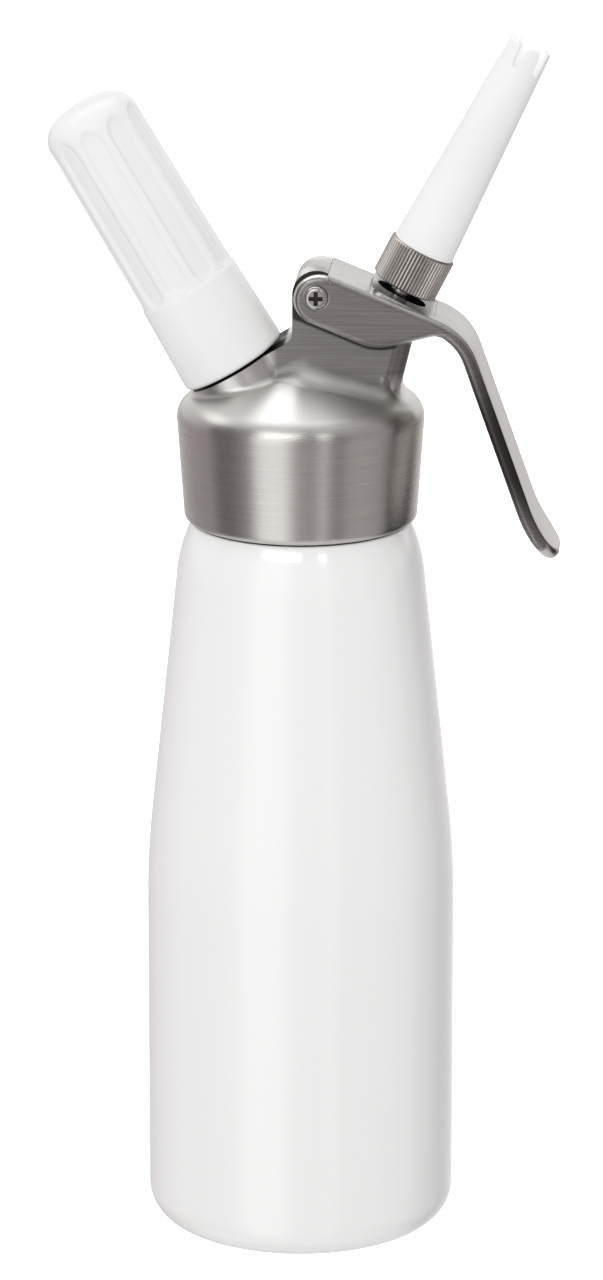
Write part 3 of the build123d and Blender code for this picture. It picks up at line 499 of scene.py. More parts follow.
finishes = {
    "bottle_white": glossPaint("bottlePaint", paintLook),
    "head_cast": brushedMetal("headBrushed", headLook, headShade),
    "lever_cast": brushedMetal("leverBrushed", leverLook, leverShade),
    "holder_plastic": moulded("holderPlastic", holderLook),
    "nozzle_plastic": moulded("nozzlePlastic", nozzleLook),
    "ring_nickel": brushedMetal("ringNickel", ringLook, ringShade),
    "liner_aluminium": brushedMetal("bareAluminium", aluminiumLook),
    "charger_steel": brushedMetal("chargerSteel", steelLook),
    "bright_steel": brushedMetal("brightSteel", brightLook),
    "spring_steel": brushedMetal("springSteel", brightLook),
    "retainer_brass": brushedMetal("retainerBrass", brassLook),
    "bush_plastic": moulded("bushPlastic", bushLook),
    "white_rubber": moulded("whiteRubber", whiteRubberLook),
    "black_rubber": moulded("blackRubber", blackRubberLook),
}
screwSteel = brushedMetal("screwSteel", screwLook, screwShade)
collarSteel = brushedMetal("collarSteel", collarLook)
print("finishes made:", len(finishes) + 2)


def gridQuads(rows, columns, closed):  # columns go round and join up; rows join up only if closed
    row = np.arange(rows if closed else rows - 1)[:, None]
    column = np.arange(columns)[None, :]
    nextRow = (row + 1) % rows
    nextColumn = (column + 1) % columns
    corners = (row * columns + column, row * columns + nextColumn)
    corners += (nextRow * columns + nextColumn, nextRow * columns + column)
    return np.stack(corners, -1).reshape(-1, 4)


def newPiece(name, points, quads, sharp):  # points in mm; poles merged, faces outwards, smooth below sharp
    mesh = bpy.data.meshes.new(name)
    mesh.from_pydata(points.reshape(-1, 3) * milli, [], quads)
    work = bmesh.new()
    work.from_mesh(mesh)
    bmesh.ops.remove_doubles(work, verts=work.verts, dist=mergeWithin)
    bmesh.ops.recalc_face_normals(work, faces=work.faces)
    work.to_mesh(mesh)
    work.free()
    mesh.shade_smooth()
    mesh.set_sharp_from_angle(angle=radians(sharp))
    piece = bpy.data.objects.new(name, mesh)
    bpy.context.scene.collection.objects.link(piece)
    return piece


def arc(centre, radius, start, turn, count):  # points on a circle, angles in degrees
    angle = np.radians(np.linspace(start, start + turn, count))
    return np.stack((centre[0] + radius * np.cos(angle), centre[1] + radius * np.sin(angle)), -1)


def roundedPath(corners, radii, count):  # a polyline whose inner corners are arcs that touch both sides
    path = [np.array(corners[:1], float)]
    for before, corner, after, radius in zip(corners, corners[1:], corners[2:], radii):
        before, corner, after = (np.array(p, float) for p in (before, corner, after))
        back = (before - corner) / np.linalg.norm(before - corner)
        ahead = (after - corner) / np.linalg.norm(after - corner)
        half = np.arccos(np.clip(back @ ahead, -1, 1)) / 2
        middle = corner + (back + ahead) / np.linalg.norm(back + ahead) * radius / sin(half)
        start = corner + back * radius / tan(half) - middle
        end = corner + ahead * radius / tan(half) - middle
        share = np.linspace(0, 1, count)[:, None]
        spread = pi - 2 * half
        swing = start * np.sin((1 - share) * spread) + end * np.sin(share * spread)
        path.append(middle + swing / sin(spread))
    path.append(np.array(corners[-1:], float))
    return np.vstack(path)


def refine(path, step):  # the same polyline with no stretch longer than step
    lengths = np.linalg.norm(np.diff(path, axis=0), axis=1)
    counts = np.maximum(1, np.ceil(lengths / step).astype(int))
    along = np.concatenate([i + np.arange(n) / n for i, n in enumerate(counts)] + [[len(counts)]])
    index = np.arange(len(path))
    return np.stack((np.interp(along, index, path[:, 0]), np.interp(along, index, path[:, 1])), -1)


def ease(value):  # smooth step from 0 to 1
    value = np.clip(value, 0, 1)
    return value * value * (3 - 2 * value)


def turned(profile, columns):  # radius, angle and height of a profile carried round its axis
    angle = np.linspace(0, 2 * pi, columns, endpoint=False)[None, :]
    return np.repeat(profile[:, :1], columns, 1), angle, np.repeat(profile[:, 1:], columns, 1)


def standOn(axis, radius, angle, height):  # cylinder coordinates about a leaning axis, to points in the frame
    lean = radians(axis["tilt"])
    along = np.array((sin(lean), 0, cos(lean)))
    across = np.array((cos(lean), 0, -sin(lean)))
    side = np.array((0.0, 1.0, 0.0))
    flat = (radius * np.cos(angle))[..., None] * across + (radius * np.sin(angle))[..., None] * side
    return np.array(axis["origin"]) + flat + height[..., None] * along


# the bottle is a lathe profile: radius = profile, and on the neck core + depth x ridge,
# where ridge is a smooth bump in (height / pitch - turn), faded at both ends of the thread
bottleForm = {
    "radius": 40.0,
    "wall": 2.0,
    "baseFillet": 9.0,
    "grooveRadius": 24.0,
    "grooveWidth": 1.6,
    "grooveDepth": 0.5,
    "bodyHeight": 88.0,
    "taper": 6.04,
    "blendRadius": 227.0,
    "coneLength": 64.5,
    "shoulderRadius": 41.0,
    "shoulderTurn": 19.0,
    "cornerRadius": 0.8,
    "ledge": 2.2,
    "neckWall": 3.2,
    "neckHeight": 20.0,
    "rimEdge": 0.6,
    "threadPitch": 4.0,
    "threadDepth": 1.0,
    "threadFrom": 193.0,
    "threadTo": 206.5,
    "threadFade": 2.0,
    "ridgeHalf": 0.34,
    "ridgeFlank": 0.2,
    "onCore": 0.01,  # rows of the neck this near the core, or further out, carry the thread
    "paintEnd": 0.02,  # the paint ends this far under the shelf
    "basePoints": 14,
    "shoulderPoints": 18,
    "cornerPoints": 8,
    "rimPoints": 5,
    "baseStep": 4.0,
    "sideStep": 3.0,
    "neckStep": 0.25,
    "insideStep": 5.0,
    "columns": 224,
    "sharp": 32,
}


def pointFrom(centre, radius, angle):  # a point on a circle, angle in degrees
    return (centre[0] + radius * cos(radians(angle)), centre[1] + radius * sin(radians(angle)))


def bottleSide(form, inset, turn):  # wall outline from the base corner to the shoulder
    radius, taper = form["radius"], form["taper"]
    blendCentre = (radius - form["blendRadius"], form["bodyHeight"])
    blendEnd = pointFrom(blendCentre, form["blendRadius"], taper)
    coneEnd = pointFrom(blendEnd, form["coneLength"], 90 + taper)
    shoulderCentre = pointFrom(coneEnd, -form["shoulderRadius"], taper)
    fillet, points = form["baseFillet"], form["basePoints"]
    base = arc((radius - fillet, fillet), fillet - inset, -90, 90, points)
    blend = arc(blendCentre, form["blendRadius"] - inset, 0, taper, points)
    shoulder = arc(shoulderCentre, form["shoulderRadius"] - inset, taper, turn, form["shoulderPoints"])
    return np.vstack((base, blend, shoulder)), shoulderCentre


def makeBottle(form):
    side, shoulderCentre = bottleSide(form, 0, form["shoulderTurn"])
    shoulderAngle = form["taper"] + form["shoulderTurn"]
    cornerCentre = pointFrom(shoulderCentre, form["shoulderRadius"] - form["cornerRadius"], shoulderAngle)
    cornerTurn = 90 - shoulderAngle
    corner = arc(cornerCentre, form["cornerRadius"], shoulderAngle, cornerTurn, form["cornerPoints"])
    shelf = cornerCentre[1] + form["cornerRadius"]
    neck = cornerCentre[0] - form["ledge"]
    core = neck - form["threadDepth"]
    bore = neck - form["neckWall"]
    rim = shelf + form["neckHeight"]
    groove, width, deep = form["grooveRadius"], form["grooveWidth"], form["grooveDepth"]
    foot = [(0, 0), (groove - width, 0), (groove - width, deep), (groove, deep), (groove, 0)]
    base = refine(np.array(foot + [tuple(side[0])], float), form["baseStep"])
    outside = np.vstack((base, refine(side, form["sideStep"])[1:], corner))
    neckCorners = [(core, shelf), (core, rim), (bore, rim), (bore, shelf)]
    neckPath = roundedPath(neckCorners, [form["rimEdge"]] * 2, form["rimPoints"])
    neckPath = refine(neckPath, form["neckStep"])
    inside, _ = bottleSide(form, form["wall"], form["shoulderTurn"] / 2)
    inside = np.vstack((refine(inside[::-1], form["insideStep"]), [(0, form["wall"])]))
    profile = np.vstack((outside, neckPath, inside))
    radius, angle, height = turned(profile, form["columns"])
    phase = (height / form["threadPitch"] - angle / (2 * pi)) % 1.0
    ridge = ease((form["ridgeHalf"] - np.abs(phase - 0.5)) / form["ridgeFlank"])
    runIn = ease((height - form["threadFrom"]) / form["threadFade"])
    runOut = ease((form["threadTo"] - height) / form["threadFade"])
    onNeck = np.zeros(len(profile))
    onNeck[len(outside):len(outside) + len(neckPath)] = 1
    outer = onNeck[:, None] * (radius > core - form["onCore"])
    radius = radius + outer * form["threadDepth"] * ridge * runIn * runOut
    points = standOn(upright, radius, angle, height)
    piece = newPiece("bottleShell", points, gridQuads(len(profile), form["columns"], False), form["sharp"])
    piece.data.materials.append(finishes["bottle_white"])
    piece.data.materials.append(finishes["liner_aluminium"])
    # faces past the shoulder's corner, and all of the inside, are bare metal
    mesh = piece.data
    middle = np.empty(len(mesh.polygons) * 3)
    mesh.polygons.foreach_get("center", middle)
    middle = middle.reshape(-1, 3) / milli
    around = np.hypot(middle[:, 0], middle[:, 1])
    wallLine = outside[len(foot):]
    limit = np.interp(middle[:, 2], wallLine[:, 1], wallLine[:, 0]) - form["wall"] / 2
    underneath = middle[:, 2] < form["wall"] / 2
    painted = underneath | ((around > limit) & (middle[:, 2] < shelf - form["paintEnd"]))
    mesh.polygons.foreach_set("material_index", np.where(painted, 0, 1).astype(np.int32))
    return piece


bottleShell = makeBottle(bottleForm)
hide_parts("bottle")
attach(bottleShell, "bottle")
print("bottle made")


# the charger holder is a lathe profile with scooped flutes: radius = profile - depth x smooth step of
# (1 - rho) / wall, where rho is the distance from the flute's line as a share of its half width,
# and past its ends as a share of the end's length
holderForm = {
    "gap": 0.6,
    "collarRadius": 14.1,
    "stepRadius": 13.45,
    "bodyRadius": 13.15,
    "collarEnd": 23.6,
    "step": 0.8,
    "draft": 0.6,
    "end": 76.4,
    "dome": 2.3,
    "edge": 1.3,
    "topRadius": 7.0,
    "flutes": 10,
    "fluteDepth": 0.85,
    "fluteShare": 0.88,
    "fluteWall": 0.4,
    "fluteFrom": 27.2,
    "fluteTo": 67.6,
    "footLength": 3.4,
    "headLength": 5.5,
    "fitRadius": 10.55,
    "fitSkirtRadius": 12.35,
    "fitStep": 16.85,
    "linerTop": 73.25,
    "linerCorner": 4.55,
    "linerPoints": 8,
    "cornerPoints": 9,
    "profileStep": 0.6,
    "columns": 360,
    "sharp": 40,
}


def makeHolder(form):
    topRadius = form["bodyRadius"] - (form["end"] - form["collarEnd"]) * tan(radians(form["draft"]))
    corners = [
        (0, form["end"] + form["dome"]),
        (topRadius, form["end"]),
        (form["bodyRadius"], form["collarEnd"] + form["step"]),
        (form["stepRadius"], form["collarEnd"]),
        (form["collarRadius"], form["gap"]),
        (form["fitSkirtRadius"], form["gap"]),
    ]
    halfStep = form["step"] / 2
    rounds = [form["topRadius"], halfStep, halfStep, form["edge"]]
    outside = refine(roundedPath(corners, rounds, form["cornerPoints"]), form["profileStep"])
    corner = form["linerCorner"]
    inner = (form["fitRadius"] - corner, form["linerTop"] - corner)
    inside = np.vstack((
        [(form["fitSkirtRadius"], form["fitStep"]), (form["fitRadius"], form["fitStep"])],
        arc(inner, corner, 0, 90, form["linerPoints"]),
        [(0, form["linerTop"])],
    ))
    profile = np.vstack((outside, inside))
    radius, angle, height = turned(profile, form["columns"])
    pitch = 2 * pi / form["flutes"]
    across = ((angle + pi / 2 + pitch / 2) % pitch - pitch / 2) / (pitch / 2 * form["fluteShare"])
    over = np.maximum(0, (height - form["fluteTo"]) / form["headLength"])
    under = np.maximum(0, (form["fluteFrom"] - height) / form["footLength"])
    rho = np.clip(np.sqrt(across ** 2 + over ** 2 + under ** 2), 0, 1)
    scoop = form["fluteDepth"] * ease((1 - rho) / form["fluteWall"])
    outer = (np.arange(len(profile)) < len(outside))[:, None]
    points = standOn(chargerAxis, radius - scoop * outer, angle, height)
    return newPiece("holderShell", points, gridQuads(len(profile), form["columns"], False), form["sharp"])


holderShell = makeHolder(holderForm)
holderShell.data.materials.append(finishes["holder_plastic"])
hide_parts("charger_holder")
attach(holderShell, "charger_holder")
print("charger holder made")


# the foot of the valve block is a soft hollow strip carried round it, over the dome: a point stands
# R (1 - sin t) out from the block's side and R (1 - cos t) above the dome, with t from 0 to 90 degrees
footForm = {
    "cornerRadius": 32.076,
    "cornerHeight": 221.128,
    "slope": 20.0,
    "skirtDraft": 4.0,
    "edgeRound": 6.004,
    "halfWidth": 9.0,
    "blockCorner": 4.5,
    "endTop": (28.669, 237.45),
    "endLean": 13.8,
    "start": -6.0,
    "growLength": 9.0,
    "round": (2.3, 5.0),
    "roundAtEnd": 3.4,
    "lift": 0.02,  # clear of the facets of the solid below
    # out and up from the strip: rows past its two edges, which turn into the metal
    "outerEdge": ((0.4, -0.15), (0.02, 0.0)),
    "innerEdge": (-0.1, 0.3),
    "rows": 24,
    "sideColumns": 60,
    "cornerColumns": 36,
    "endColumns": 25,
    "settleRounds": 8,
    "sharp": 60,
}


def domeHeight(form, radius):  # a cone, rounded over to the skirt
    slope = radians(form["slope"])
    bend = radians(90 - form["slope"] + form["skirtDraft"])
    middle = form["cornerRadius"] - form["edgeRound"] * tan(bend / 2) * cos(slope)
    cone = form["cornerHeight"] + (form["cornerRadius"] - radius) * tan(slope)
    edge = form["cornerHeight"] + (form["cornerRadius"] - middle) * tan(slope)
    centre = (middle - form["edgeRound"] * sin(slope), edge - form["edgeRound"] * cos(slope))
    over = np.clip(form["edgeRound"] ** 2 - (radius - centre[0]) ** 2, 0, None)
    return np.where(radius < middle, cone, centre[1] + np.sqrt(over))


def makeFoot(form):
    half, corner = form["halfWidth"], form["blockCorner"]
    bend = np.radians(np.linspace(-90, 0, form["cornerColumns"]))
    along = np.linspace(0, 1, form["sideColumns"] + 1)[:-1]
    front = np.linspace(-1, 1, form["endColumns"])[1:-1]
    noSide, noBend, noEnd = 0 * along, 0 * bend, 0 * front
    setBack = corner * (np.cos(bend) - 1)
    lateral = corner * np.sin(bend) - (half - corner)
    # each runs along the near side, round the near corner, across the end, round the far corner and back
    onSide = np.concatenate((noSide + 1, noBend, noEnd, noBend, noSide + 1))
    share = np.concatenate((along, noBend, noEnd, noBend, along[::-1]))
    back = np.concatenate((noSide, setBack, noEnd, setBack[::-1], noSide))
    y = np.concatenate((noSide - half, lateral, front * (half - corner), -lateral[::-1], noSide + half))
    outX = np.concatenate((noSide, np.cos(bend), noEnd + 1, np.cos(bend[::-1]), noSide))
    outY = np.concatenate((noSide - 1, np.sin(bend), noEnd, -np.sin(bend[::-1]), noSide + 1))
    lean = tan(radians(form["endLean"]))
    z = np.full(len(y), form["cornerHeight"])
    for _ in range(form["settleRounds"]):  # settle the path on the dome
        end = form["endTop"][0] - (form["endTop"][1] - z) * lean
        x = np.where(onSide > 0, form["start"] + (end - corner - form["start"]) * share, end + back)
        z = domeHeight(form, np.hypot(x, y))
    grow = ease((x - form["start"]) / form["growLength"])
    radius = form["round"][0] + (form["round"][1] - form["round"][0]) * grow
    radius = radius + (form["roundAtEnd"] - radius) * outX ** 2
    t = np.linspace(0, pi / 2, form["rows"])[:, None]
    out = radius * (1 - np.sin(t)) + form["lift"]
    rise = radius * (1 - np.cos(t)) + form["lift"]
    (buryOut, buryUp), (edgeOut, edgeUp) = form["outerEdge"]
    innerOut, innerUp = form["innerEdge"]
    out = np.vstack((out[:1] + buryOut, out[:1] + edgeOut, out, out[-1:] + innerOut))
    rise = np.vstack((rise[:1] + buryUp, rise[:1] + edgeUp, rise, rise[-1:] + innerUp))
    shift = out + lean * outX * rise
    px, py = x + shift * outX, y + shift * outY
    pz = domeHeight(form, np.hypot(px, py)) + rise
    rows, columns = px.shape
    quads = gridQuads(rows, columns, False)
    quads = quads[np.arange(len(quads)) % columns < columns - 1]  # the strip stays open at the boss
    return newPiece("blockFoot", np.stack((px, py, pz), -1), quads, form["sharp"])


blockFoot = makeFoot(footForm)
blockFoot.data.materials.append(finishes["head_cast"])
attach(blockFoot, "head")
print("block's foot made")


# the nozzle is a tapered tube whose rim follows a crown of teeth: a column at share s of a tooth
# rises to crownHeight(s), and drifts from an even angle to crownAngle(s) on its way up
nozzleForm = {
    "plugFrom": 17.922,
    "ringTop": 21.822,
    "top": 80.822,
    "plugRadius": 7.5,
    "baseRadius": 8.1,
    "taper": 2.35,
    "wall": 1.5,
    "inletRadius": 2.6,
    "floor": 1.5,
    "teeth": 6,
    "toothDepth": 6.0,
    "gapRoot": 1.5,
    "gapMouth": 2.8,
    "tipRound": 0.75,
    "lipShare": 0.42,
    "turn": -45.0,
    "driftLength": 5.0,
    "columnsPerTooth": 48,
    "cornerPoints": 12,
    "crownStep": 0.35,
    "tubeStep": 3.0,
    "boreStep": 6.0,
    "crownRows": 8,
    "rimRows": 7,
    "sharp": 40,
}


def crownOutline(form):  # one tooth from gap to gap: shares of its pitch round the rim, and heights
    rimRadius = form["baseRadius"] - (form["top"] - form["ringTop"]) * tan(radians(form["taper"]))
    half = pi * rimRadius / form["teeth"]
    root, mouth, low = form["gapRoot"] / 2, form["gapMouth"] / 2, form["top"] - form["toothDepth"]
    bottom = arc((0, low + root), root, -90, 90, form["cornerPoints"])
    flank = [(root, low + root), (mouth, form["top"]), (half, form["top"])]
    side = roundedPath(flank, [form["tipRound"]], form["cornerPoints"])
    outline = refine(np.vstack((bottom, side[1:])), form["crownStep"])
    lengths = np.concatenate(([0], np.cumsum(np.hypot(*np.diff(outline, axis=0).T))))
    even = np.linspace(0, lengths[-1], form["columnsPerTooth"] // 2 + 1)
    x = np.interp(even, lengths, outline[:, 0])
    z = np.interp(even, lengths, outline[:, 1])
    return np.concatenate((x, 2 * half - x[-2:0:-1])) / half / 2, np.concatenate((z, z[-2:0:-1]))


def makeNozzle(form):
    share, crown = crownOutline(form)
    count = len(share)
    tooth = np.arange(form["teeth"])[:, None]
    evenAngle = ((tooth + np.arange(count) / count) * 2 * pi / form["teeth"]).ravel()
    crownAngle = ((tooth + share) * 2 * pi / form["teeth"]).ravel()
    crownHeight = np.tile(crown, form["teeth"])
    columns = len(evenAngle)
    slope = tan(radians(form["taper"]))
    driftFrom = form["top"] - form["toothDepth"] - form["driftLength"]
    wall, plug, ringTop, base = form["wall"], form["plugFrom"], form["ringTop"], form["baseRadius"]
    # rows below the crown: the angle stays even, radius and height come from a plain profile
    inlet, plugRadius = form["inletRadius"], form["plugRadius"]
    plugSide = np.array([(inlet, plug), (plugRadius, plug), (plugRadius, ringTop)])
    tube = np.array([(base, ringTop), (base - (driftFrom - ringTop) * slope, driftFrom)])
    outerRows = np.vstack((plugSide, refine(tube, form["tubeStep"])))
    bore = np.array([
        (base - wall - (driftFrom - ringTop) * slope, driftFrom),
        (base - wall - form["floor"] * slope, ringTop + form["floor"]),
    ])
    innerRows = np.vstack((refine(bore, form["boreStep"]), [(inlet, plug + form["floor"])]))
    # rows of the crown: up the outside, over a rounded rim, down the inside
    crownRows, rimRows = form["crownRows"], form["rimRows"]
    rimTurn = np.linspace(0, pi, rimRows + 2)[1:-1]
    rise = np.linspace(0, 1, crownRows + 1)[1:]
    lip = wall * form["lipShare"]
    drop = np.concatenate((np.full(crownRows, lip), lip * (1 - np.sin(rimTurn)), np.full(crownRows, lip)))
    climb = np.concatenate((rise, np.ones(rimRows), rise[::-1]))
    inset = np.concatenate((np.zeros(crownRows), (1 - np.cos(rimTurn)) / 2, np.ones(crownRows)))
    topHeight = crownHeight[None, :] - drop[:, None]
    height = driftFrom + climb[:, None] * (topHeight - driftFrom)
    angle = evenAngle[None, :] + ease(climb)[:, None] * (crownAngle - evenAngle)[None, :]
    radius = base - (height - ringTop) * slope - inset[:, None] * wall
    outerRadius, _, outerHeight = turned(outerRows, columns)
    innerRadius, _, innerHeight = turned(innerRows, columns)
    radius = np.vstack((outerRadius, radius, innerRadius))
    height = np.vstack((outerHeight, height, innerHeight))
    outerAngle = np.tile(evenAngle, (len(outerRows), 1))
    innerAngle = np.tile(evenAngle, (len(innerRows), 1))
    angle = np.vstack((outerAngle, angle, innerAngle)) + radians(form["turn"])
    points = standOn(stemAxis, radius, angle, height)
    return newPiece("nozzleTube", points, gridQuads(len(radius), columns, True), form["sharp"])


nozzleTube = makeNozzle(nozzleForm)
nozzleTube.data.materials.append(finishes["nozzle_plastic"])
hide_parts("nozzle_tip")
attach(nozzleTube, "nozzle")
print("nozzle made")


# the spring is a circle carried along a helix, closed to a point at both ends
springForm = {
    "radius": 4.45,
    "wire": 1.0,
    "from": -8.96,
    "to": 2.049,
    "turns": 5.0,
    "steps": 300,
    "sides": 16,
    "travel": 2.98,
    "sharp": 60,
}


def makeSpring(form):
    turn = np.linspace(0, form["turns"], form["steps"])
    height = np.interp(turn, (0, form["turns"]), (form["from"], form["to"]))
    ends = np.ones(len(turn))
    ends[[0, -1]] = 0
    around = np.linspace(0, 2 * pi, form["sides"], endpoint=False)
    thick = form["wire"] / 2 * ends[:, None]
    radius = form["radius"] + thick * np.cos(around)
    points = standOn(stemAxis, radius, 2 * pi * turn[:, None], height[:, None] + thick * np.sin(around))
    return newPiece("springCoil", points, gridQuads(len(turn), form["sides"], False), form["sharp"])


springCoil = makeSpring(springForm)
springCoil.data.materials.append(finishes["spring_steel"])
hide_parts("valve_spring")
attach(springCoil, "head")
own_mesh(springCoil)
print("spring made")


# a thread is a low rounded ridge carried along a helix: height x (1 - t^2) over its foot,
# with t from -1 to 1, run out at both ends
threadShape = {"points": 7, "bury": 0.3, "runOut": 0.5, "sharp": 60}
stemThreadForm = threadShape | {
    "radius": 4.0, "from": 11.3, "to": 16.0, "pitch": 1.0, "height": 0.2, "foot": 0.42, "steps": 400,
}
spigotThreadForm = threadShape | {
    "radius": 10.8, "from": 2.2, "to": 12.6, "pitch": 2.0, "height": 0.2, "foot": 0.7, "steps": 700,
}


def makeThread(name, axis, form):
    turns = (form["to"] - form["from"]) / form["pitch"]
    turn = np.linspace(0, turns, form["steps"])
    runOut = ease(turn / form["runOut"]) * ease((turns - turn) / form["runOut"])
    across = np.linspace(-1, 1, form["points"])
    bury = form["height"] * form["bury"]
    lift = np.concatenate((form["height"] * (1 - across ** 2), [-bury]))
    over = np.concatenate((across, [0])) * form["foot"]
    radius = form["radius"] - bury * (1 - runOut)[:, None] + lift * runOut[:, None]
    height = form["from"] + turn[:, None] * form["pitch"] + over[None, :] * runOut[:, None]
    points = standOn(axis, radius, 2 * pi * turn[:, None], height)
    return newPiece(name, points, gridQuads(len(turn), len(over), False), form["sharp"])


stemThread = makeThread("stemThread", stemAxis, stemThreadForm)
stemThread.data.materials.append(finishes["bright_steel"])
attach(stemThread, "stem")
spigotThread = makeThread("spigotThread", chargerAxis, spigotThreadForm)
spigotThread.data.materials.append(finishes["head_cast"])
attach(spigotThread, "head")
print("threads made")


dressed = {  # the solids that show as they are, and their finish
    "head": "head_cast",
    "lever": "lever_cast",
    "nozzle_ring": "ring_nickel",
    "holder_liner": "liner_aluminium",
    "gas_charger": "charger_steel",
    "valve_stem": "bright_steel",
    "push_collar": "bright_steel",
    "pivot_sleeve": "bright_steel",
    "pivot_screw": "bright_steel",
    "pivot_washers": "bright_steel",
    "seal_washer": "bright_steel",
    "stem_nut": "bright_steel",
    "piercing_pin": "bright_steel",
    "check_valve_retainer": "retainer_brass",
    "guide_bush": "bush_plastic",
    "head_gasket": "white_rubber",
    "nozzle_gasket": "white_rubber",
    "piercer_gasket": "black_rubber",
    "check_valve": "black_rubber",
    "stem_o_ring": "black_rubber",
    "valve_seal": "black_rubber",
}
for node, slot in dressed.items():
    nodes[node].data.materials.clear()
    nodes[node].data.materials.append(finishes[slot])
nodes["pivot_screw"].data.materials[0] = screwSteel
nodes["push_collar"].data.materials[0] = collarSteel
print("solids dressed:", len(dressed))


floorForm = {
    "size": 40.0,
    "tone": 0.97,
    "darker": 0.99,
    "drift": (3, 3, 3),
    "rough": 0.7,
    "shine": 0.1,
    "glow": 0.8,  # keeps the sweep white out to its edges
}
reach = floorForm["size"] / 2
floorCorners = [(-reach, -reach, 0), (reach, -reach, 0), (reach, reach, 0), (-reach, reach, 0)]
floorMesh = bpy.data.meshes.new("studioFloor")
floorMesh.from_pydata(floorCorners, [], [(0, 1, 2, 3)])
studioFloor = bpy.data.objects.new("studioFloor", floorMesh)
bpy.context.scene.collection.objects.link(studioFloor)
paleFloor, floorPlace = newFinish("paleFloor")
floorDrift = floorPlace.noise(floorForm["drift"])
coverWith(floorPlace, {
    "Base Color": floorDrift.mix(grey(floorForm["tone"]), grey(floorForm["tone"] * floorForm["darker"])),
    "Roughness": floorForm["rough"],
    "Specular IOR Level": floorForm["shine"],
    "Emission Color": grey(1),
    "Emission Strength": floorForm["glow"],
})
floorMesh.materials.append(paleFloor)
studioFloor.visible_glossy = False  # what the metal mirrors below it is in the world's panels
studioFloor.visible_diffuse = False


# the studio by compass and height: dark room in front, white sweep behind, a pale ceiling on the left;
# edges are limits on x, y or z of the direction, levels are brightness
cameraSide = 4.0  # degrees of the camera from the front, towards +X
roomForm = {
    "horizon": (-0.06, 0.06),
    "floorEdge": (-0.85, -0.6),
    "floorLevel": 0.9,
    "ceilingEdge": (0.5, 0.66),
    "ceilingLevel": 3.0,
    "rightEdge": (0.05, 0.4),
    "rightLevel": 0.36,
    "frontEdge": (-0.1, 0.25),
    "frontLevel": 0.6,
    "farEdge": (0.56, 0.7),
    "farLevel": 0.5,
    "windowBlur": (0.004, 0.02),  # by compass, by height
    "evenLevel": 0.69,
    "warmth": (0.16, 0.02),  # red and blue
}
lowPanels = [  # degrees to the right of the camera, brightness, seen below the horizon
    (-150, 0.5), (-128, 0.38), (-106, 0.34), (-94, 0.27), (-87, 0.16), (-76, 0.15), (-64, 0.21), (-53, 0.33),
    (-48, 0.5), (-44, 1.0), (-40, 1.2), (-16, 1.2), (-11, 0.8), (-5, 0.4), (3, 0.36), (13, 0.32), (18, 0.5),
    (22, 0.8), (26, 0.5), (31, 0.24), (40, 0.25), (47, 0.42), (62, 0.45), (88, 0.4), (94, 0.22), (99, 0.02),
    (128, 0.02), (136, 0.2), (145, 0.45), (165, 0.85),
]
highPanels = [  # the same above the horizon
    (-160, 0.95), (-125, 0.7), (-100, 0.42), (-90, 0.14), (-70, 0.15), (-52, 0.3), (-46, 0.7), (-41, 1.3),
    (-14, 1.3), (-7, 0.45), (14, 0.34), (19, 0.8), (25, 0.8), (30, 0.28), (40, 0.27), (48, 0.4), (88, 0.4),
    (99, 0.1), (122, 0.1), (132, 0.95), (170, 0.95),
]
windows = [  # compass from and to, sines of the lower and upper edge, brightness
    (-40, 0, 0.43, 0.53, 6.0),
    (19, 27, 0.41, 0.5, 5.0),
]
world = bpy.data.worlds.new("studio")
bpy.context.scene.world = world
world.use_nodes = True
world.node_tree.nodes.clear()
sky = Wire(world.node_tree).node("ShaderNodeTexCoord", output="Generated")
compass = sky.node("ShaderNodeTexGradient", {"gradient_type": "RADIAL"}, {"Vector": sky})


def compassShare(side):  # where that side of the camera lies on the radial gradient
    return ((cameraSide - 90 + side) / 360 + 0.5) % 1.0


def warmGrey(level, warmth):
    red, blue = roomForm["warmth"]
    return (level * (1 + red * warmth), level, level * (1 + blue * warmth), 1.0)


def wallRamp(panels):  # brightness by compass; dark panels are a little warm
    stops = [(compassShare(side), warmGrey(level, max(0.0, 1 - level))) for side, level in panels]
    return compass.node("ShaderNodeValToRGB", {"stops": sorted(stops)}, {0: compass})


def band(value, low, high, blur):  # 1 from low to high
    return value.between(low - blur, low + blur) - value.between(high - blur, high + blur)


rightward, backward, upward = sky.part(0), sky.part(1), sky.part(2)
walls = upward.between(*roomForm["horizon"]).mix(wallRamp(lowPanels), wallRamp(highPanels))
walls = upward.between(*roomForm["floorEdge"]).mix(grey(roomForm["floorLevel"]), walls)
ceilingRight = warmGrey(roomForm["rightLevel"], 1.0)
ceiling = rightward.between(*roomForm["rightEdge"]).mix(grey(roomForm["ceilingLevel"]), ceilingRight)
ceiling = backward.between(*roomForm["frontEdge"]).mix(grey(roomForm["frontLevel"]), ceiling)
ceiling = backward.between(*roomForm["farEdge"]).mix(ceiling, grey(roomForm["farLevel"]))
sphere = upward.between(*roomForm["ceilingEdge"]).mix(walls, ceiling)
for left, right, low, high, level in windows:
    across = band(compass, compassShare(left), compassShare(right), roomForm["windowBlur"][0])
    upDown = band(upward, low, high, roomForm["windowBlur"][1])
    sphere = (across * upDown).mix(sphere, grey(level))
# matt surfaces are lit by an even room, the metal mirrors the panels
softRay = sky.node("ShaderNodeLightPath", output="Is Diffuse Ray")
sphere = softRay.mix(sphere, grey(roomForm["evenLevel"]))
glow = sky.node("ShaderNodeBackground", inputs={"Color": sphere})
sky.node("ShaderNodeOutputWorld", inputs={"Surface": glow})

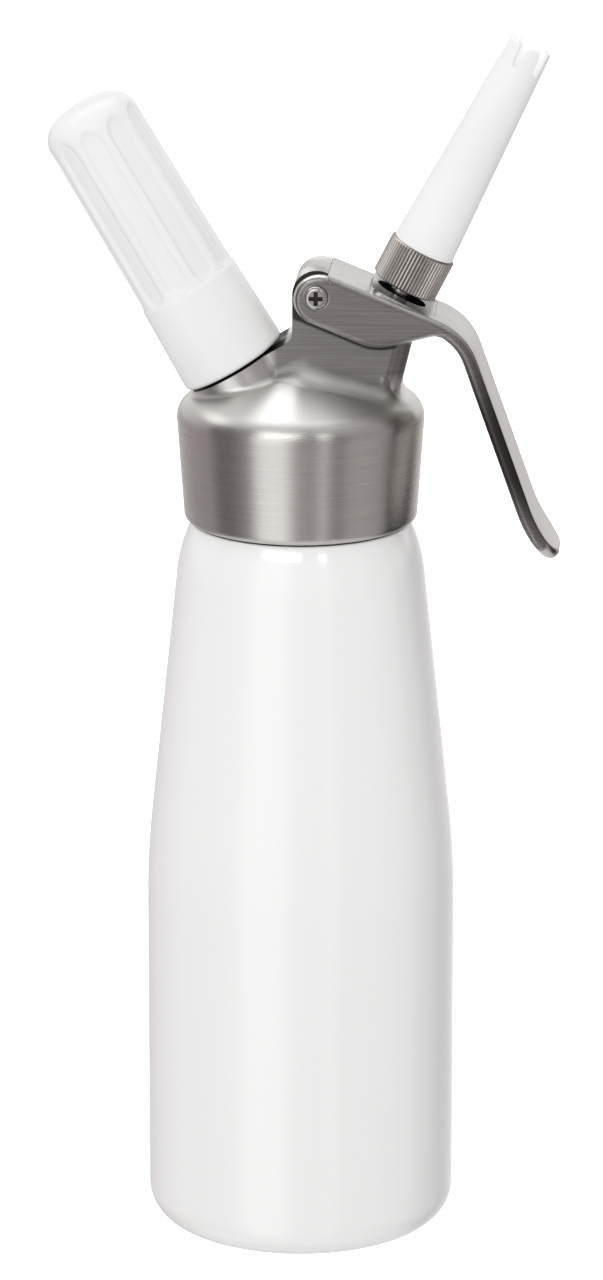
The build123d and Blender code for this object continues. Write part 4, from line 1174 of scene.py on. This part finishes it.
lampAim = 0.17  # height in metres at which all the lamps look
lamps = {  # place in metres, width and height, watts
    "frontLamp": ((-0.1, -1.9, 0.9), (1.8, 1.2), 12),
    "leftLamp": ((-1.75, -0.9, 0.5), (1.2, 1.2), 4),
    "rightLamp": ((1.75, -0.65, 0.8), (1.2, 1.2), 2),
    "topLamp": ((-0.1, 0.3, 2.2), (1.6, 1.6), 2),
    "backLamp": ((0.4, 1.9, 1.4), (1.2, 1.2), 7),
}
for name, (spot, size, watts) in lamps.items():
    lamp = bpy.data.lights.new(name, "AREA")
    lamp.shape = "RECTANGLE"
    lamp.size, lamp.size_y = size
    lamp.energy = watts
    lampStand = bpy.data.objects.new(name, lamp)
    bpy.context.scene.collection.objects.link(lampStand)
    x, y, z = spot
    lampStand.location = spot
    lampStand.rotation_euler = (atan2(hypot(x, y), z - lampAim), 0, atan2(x, -y))
    lampStand.visible_camera = False
    lampStand.visible_glossy = False  # what the metal mirrors is in the world's panels

view = bpy.context.scene.view_settings
view.view_transform = "Standard"
view.look = "None"

cameraForm = {  # metres, radians and pixels
    "distance": 1.6,
    "height": 0.612,
    "pitch": 0.277,
    "focal": 6425,
    "middle": 300.8,
    "imageWidth": 603,
    "imageHeight": 1280,
    "sensor": 36.0,  # millimetres
    "clip": (0.01, 100),
}
lens = bpy.data.cameras.new("photoCamera")
lens.sensor_width = cameraForm["sensor"]
lens.lens = cameraForm["focal"] / cameraForm["imageHeight"] * lens.sensor_width
lens.shift_x = (cameraForm["imageWidth"] / 2 - cameraForm["middle"]) / cameraForm["imageHeight"]
lens.clip_start, lens.clip_end = cameraForm["clip"]
photoCamera = bpy.data.objects.new("photoCamera", lens)
bpy.context.scene.collection.objects.link(photoCamera)
turnOut, away = radians(cameraSide), cameraForm["distance"]
photoCamera.location = (away * sin(turnOut), -away * cos(turnOut), cameraForm["height"])
photoCamera.rotation_euler = (pi / 2 - cameraForm["pitch"], 0, turnOut)
bpy.context.scene.camera = photoCamera
print("studio ready")
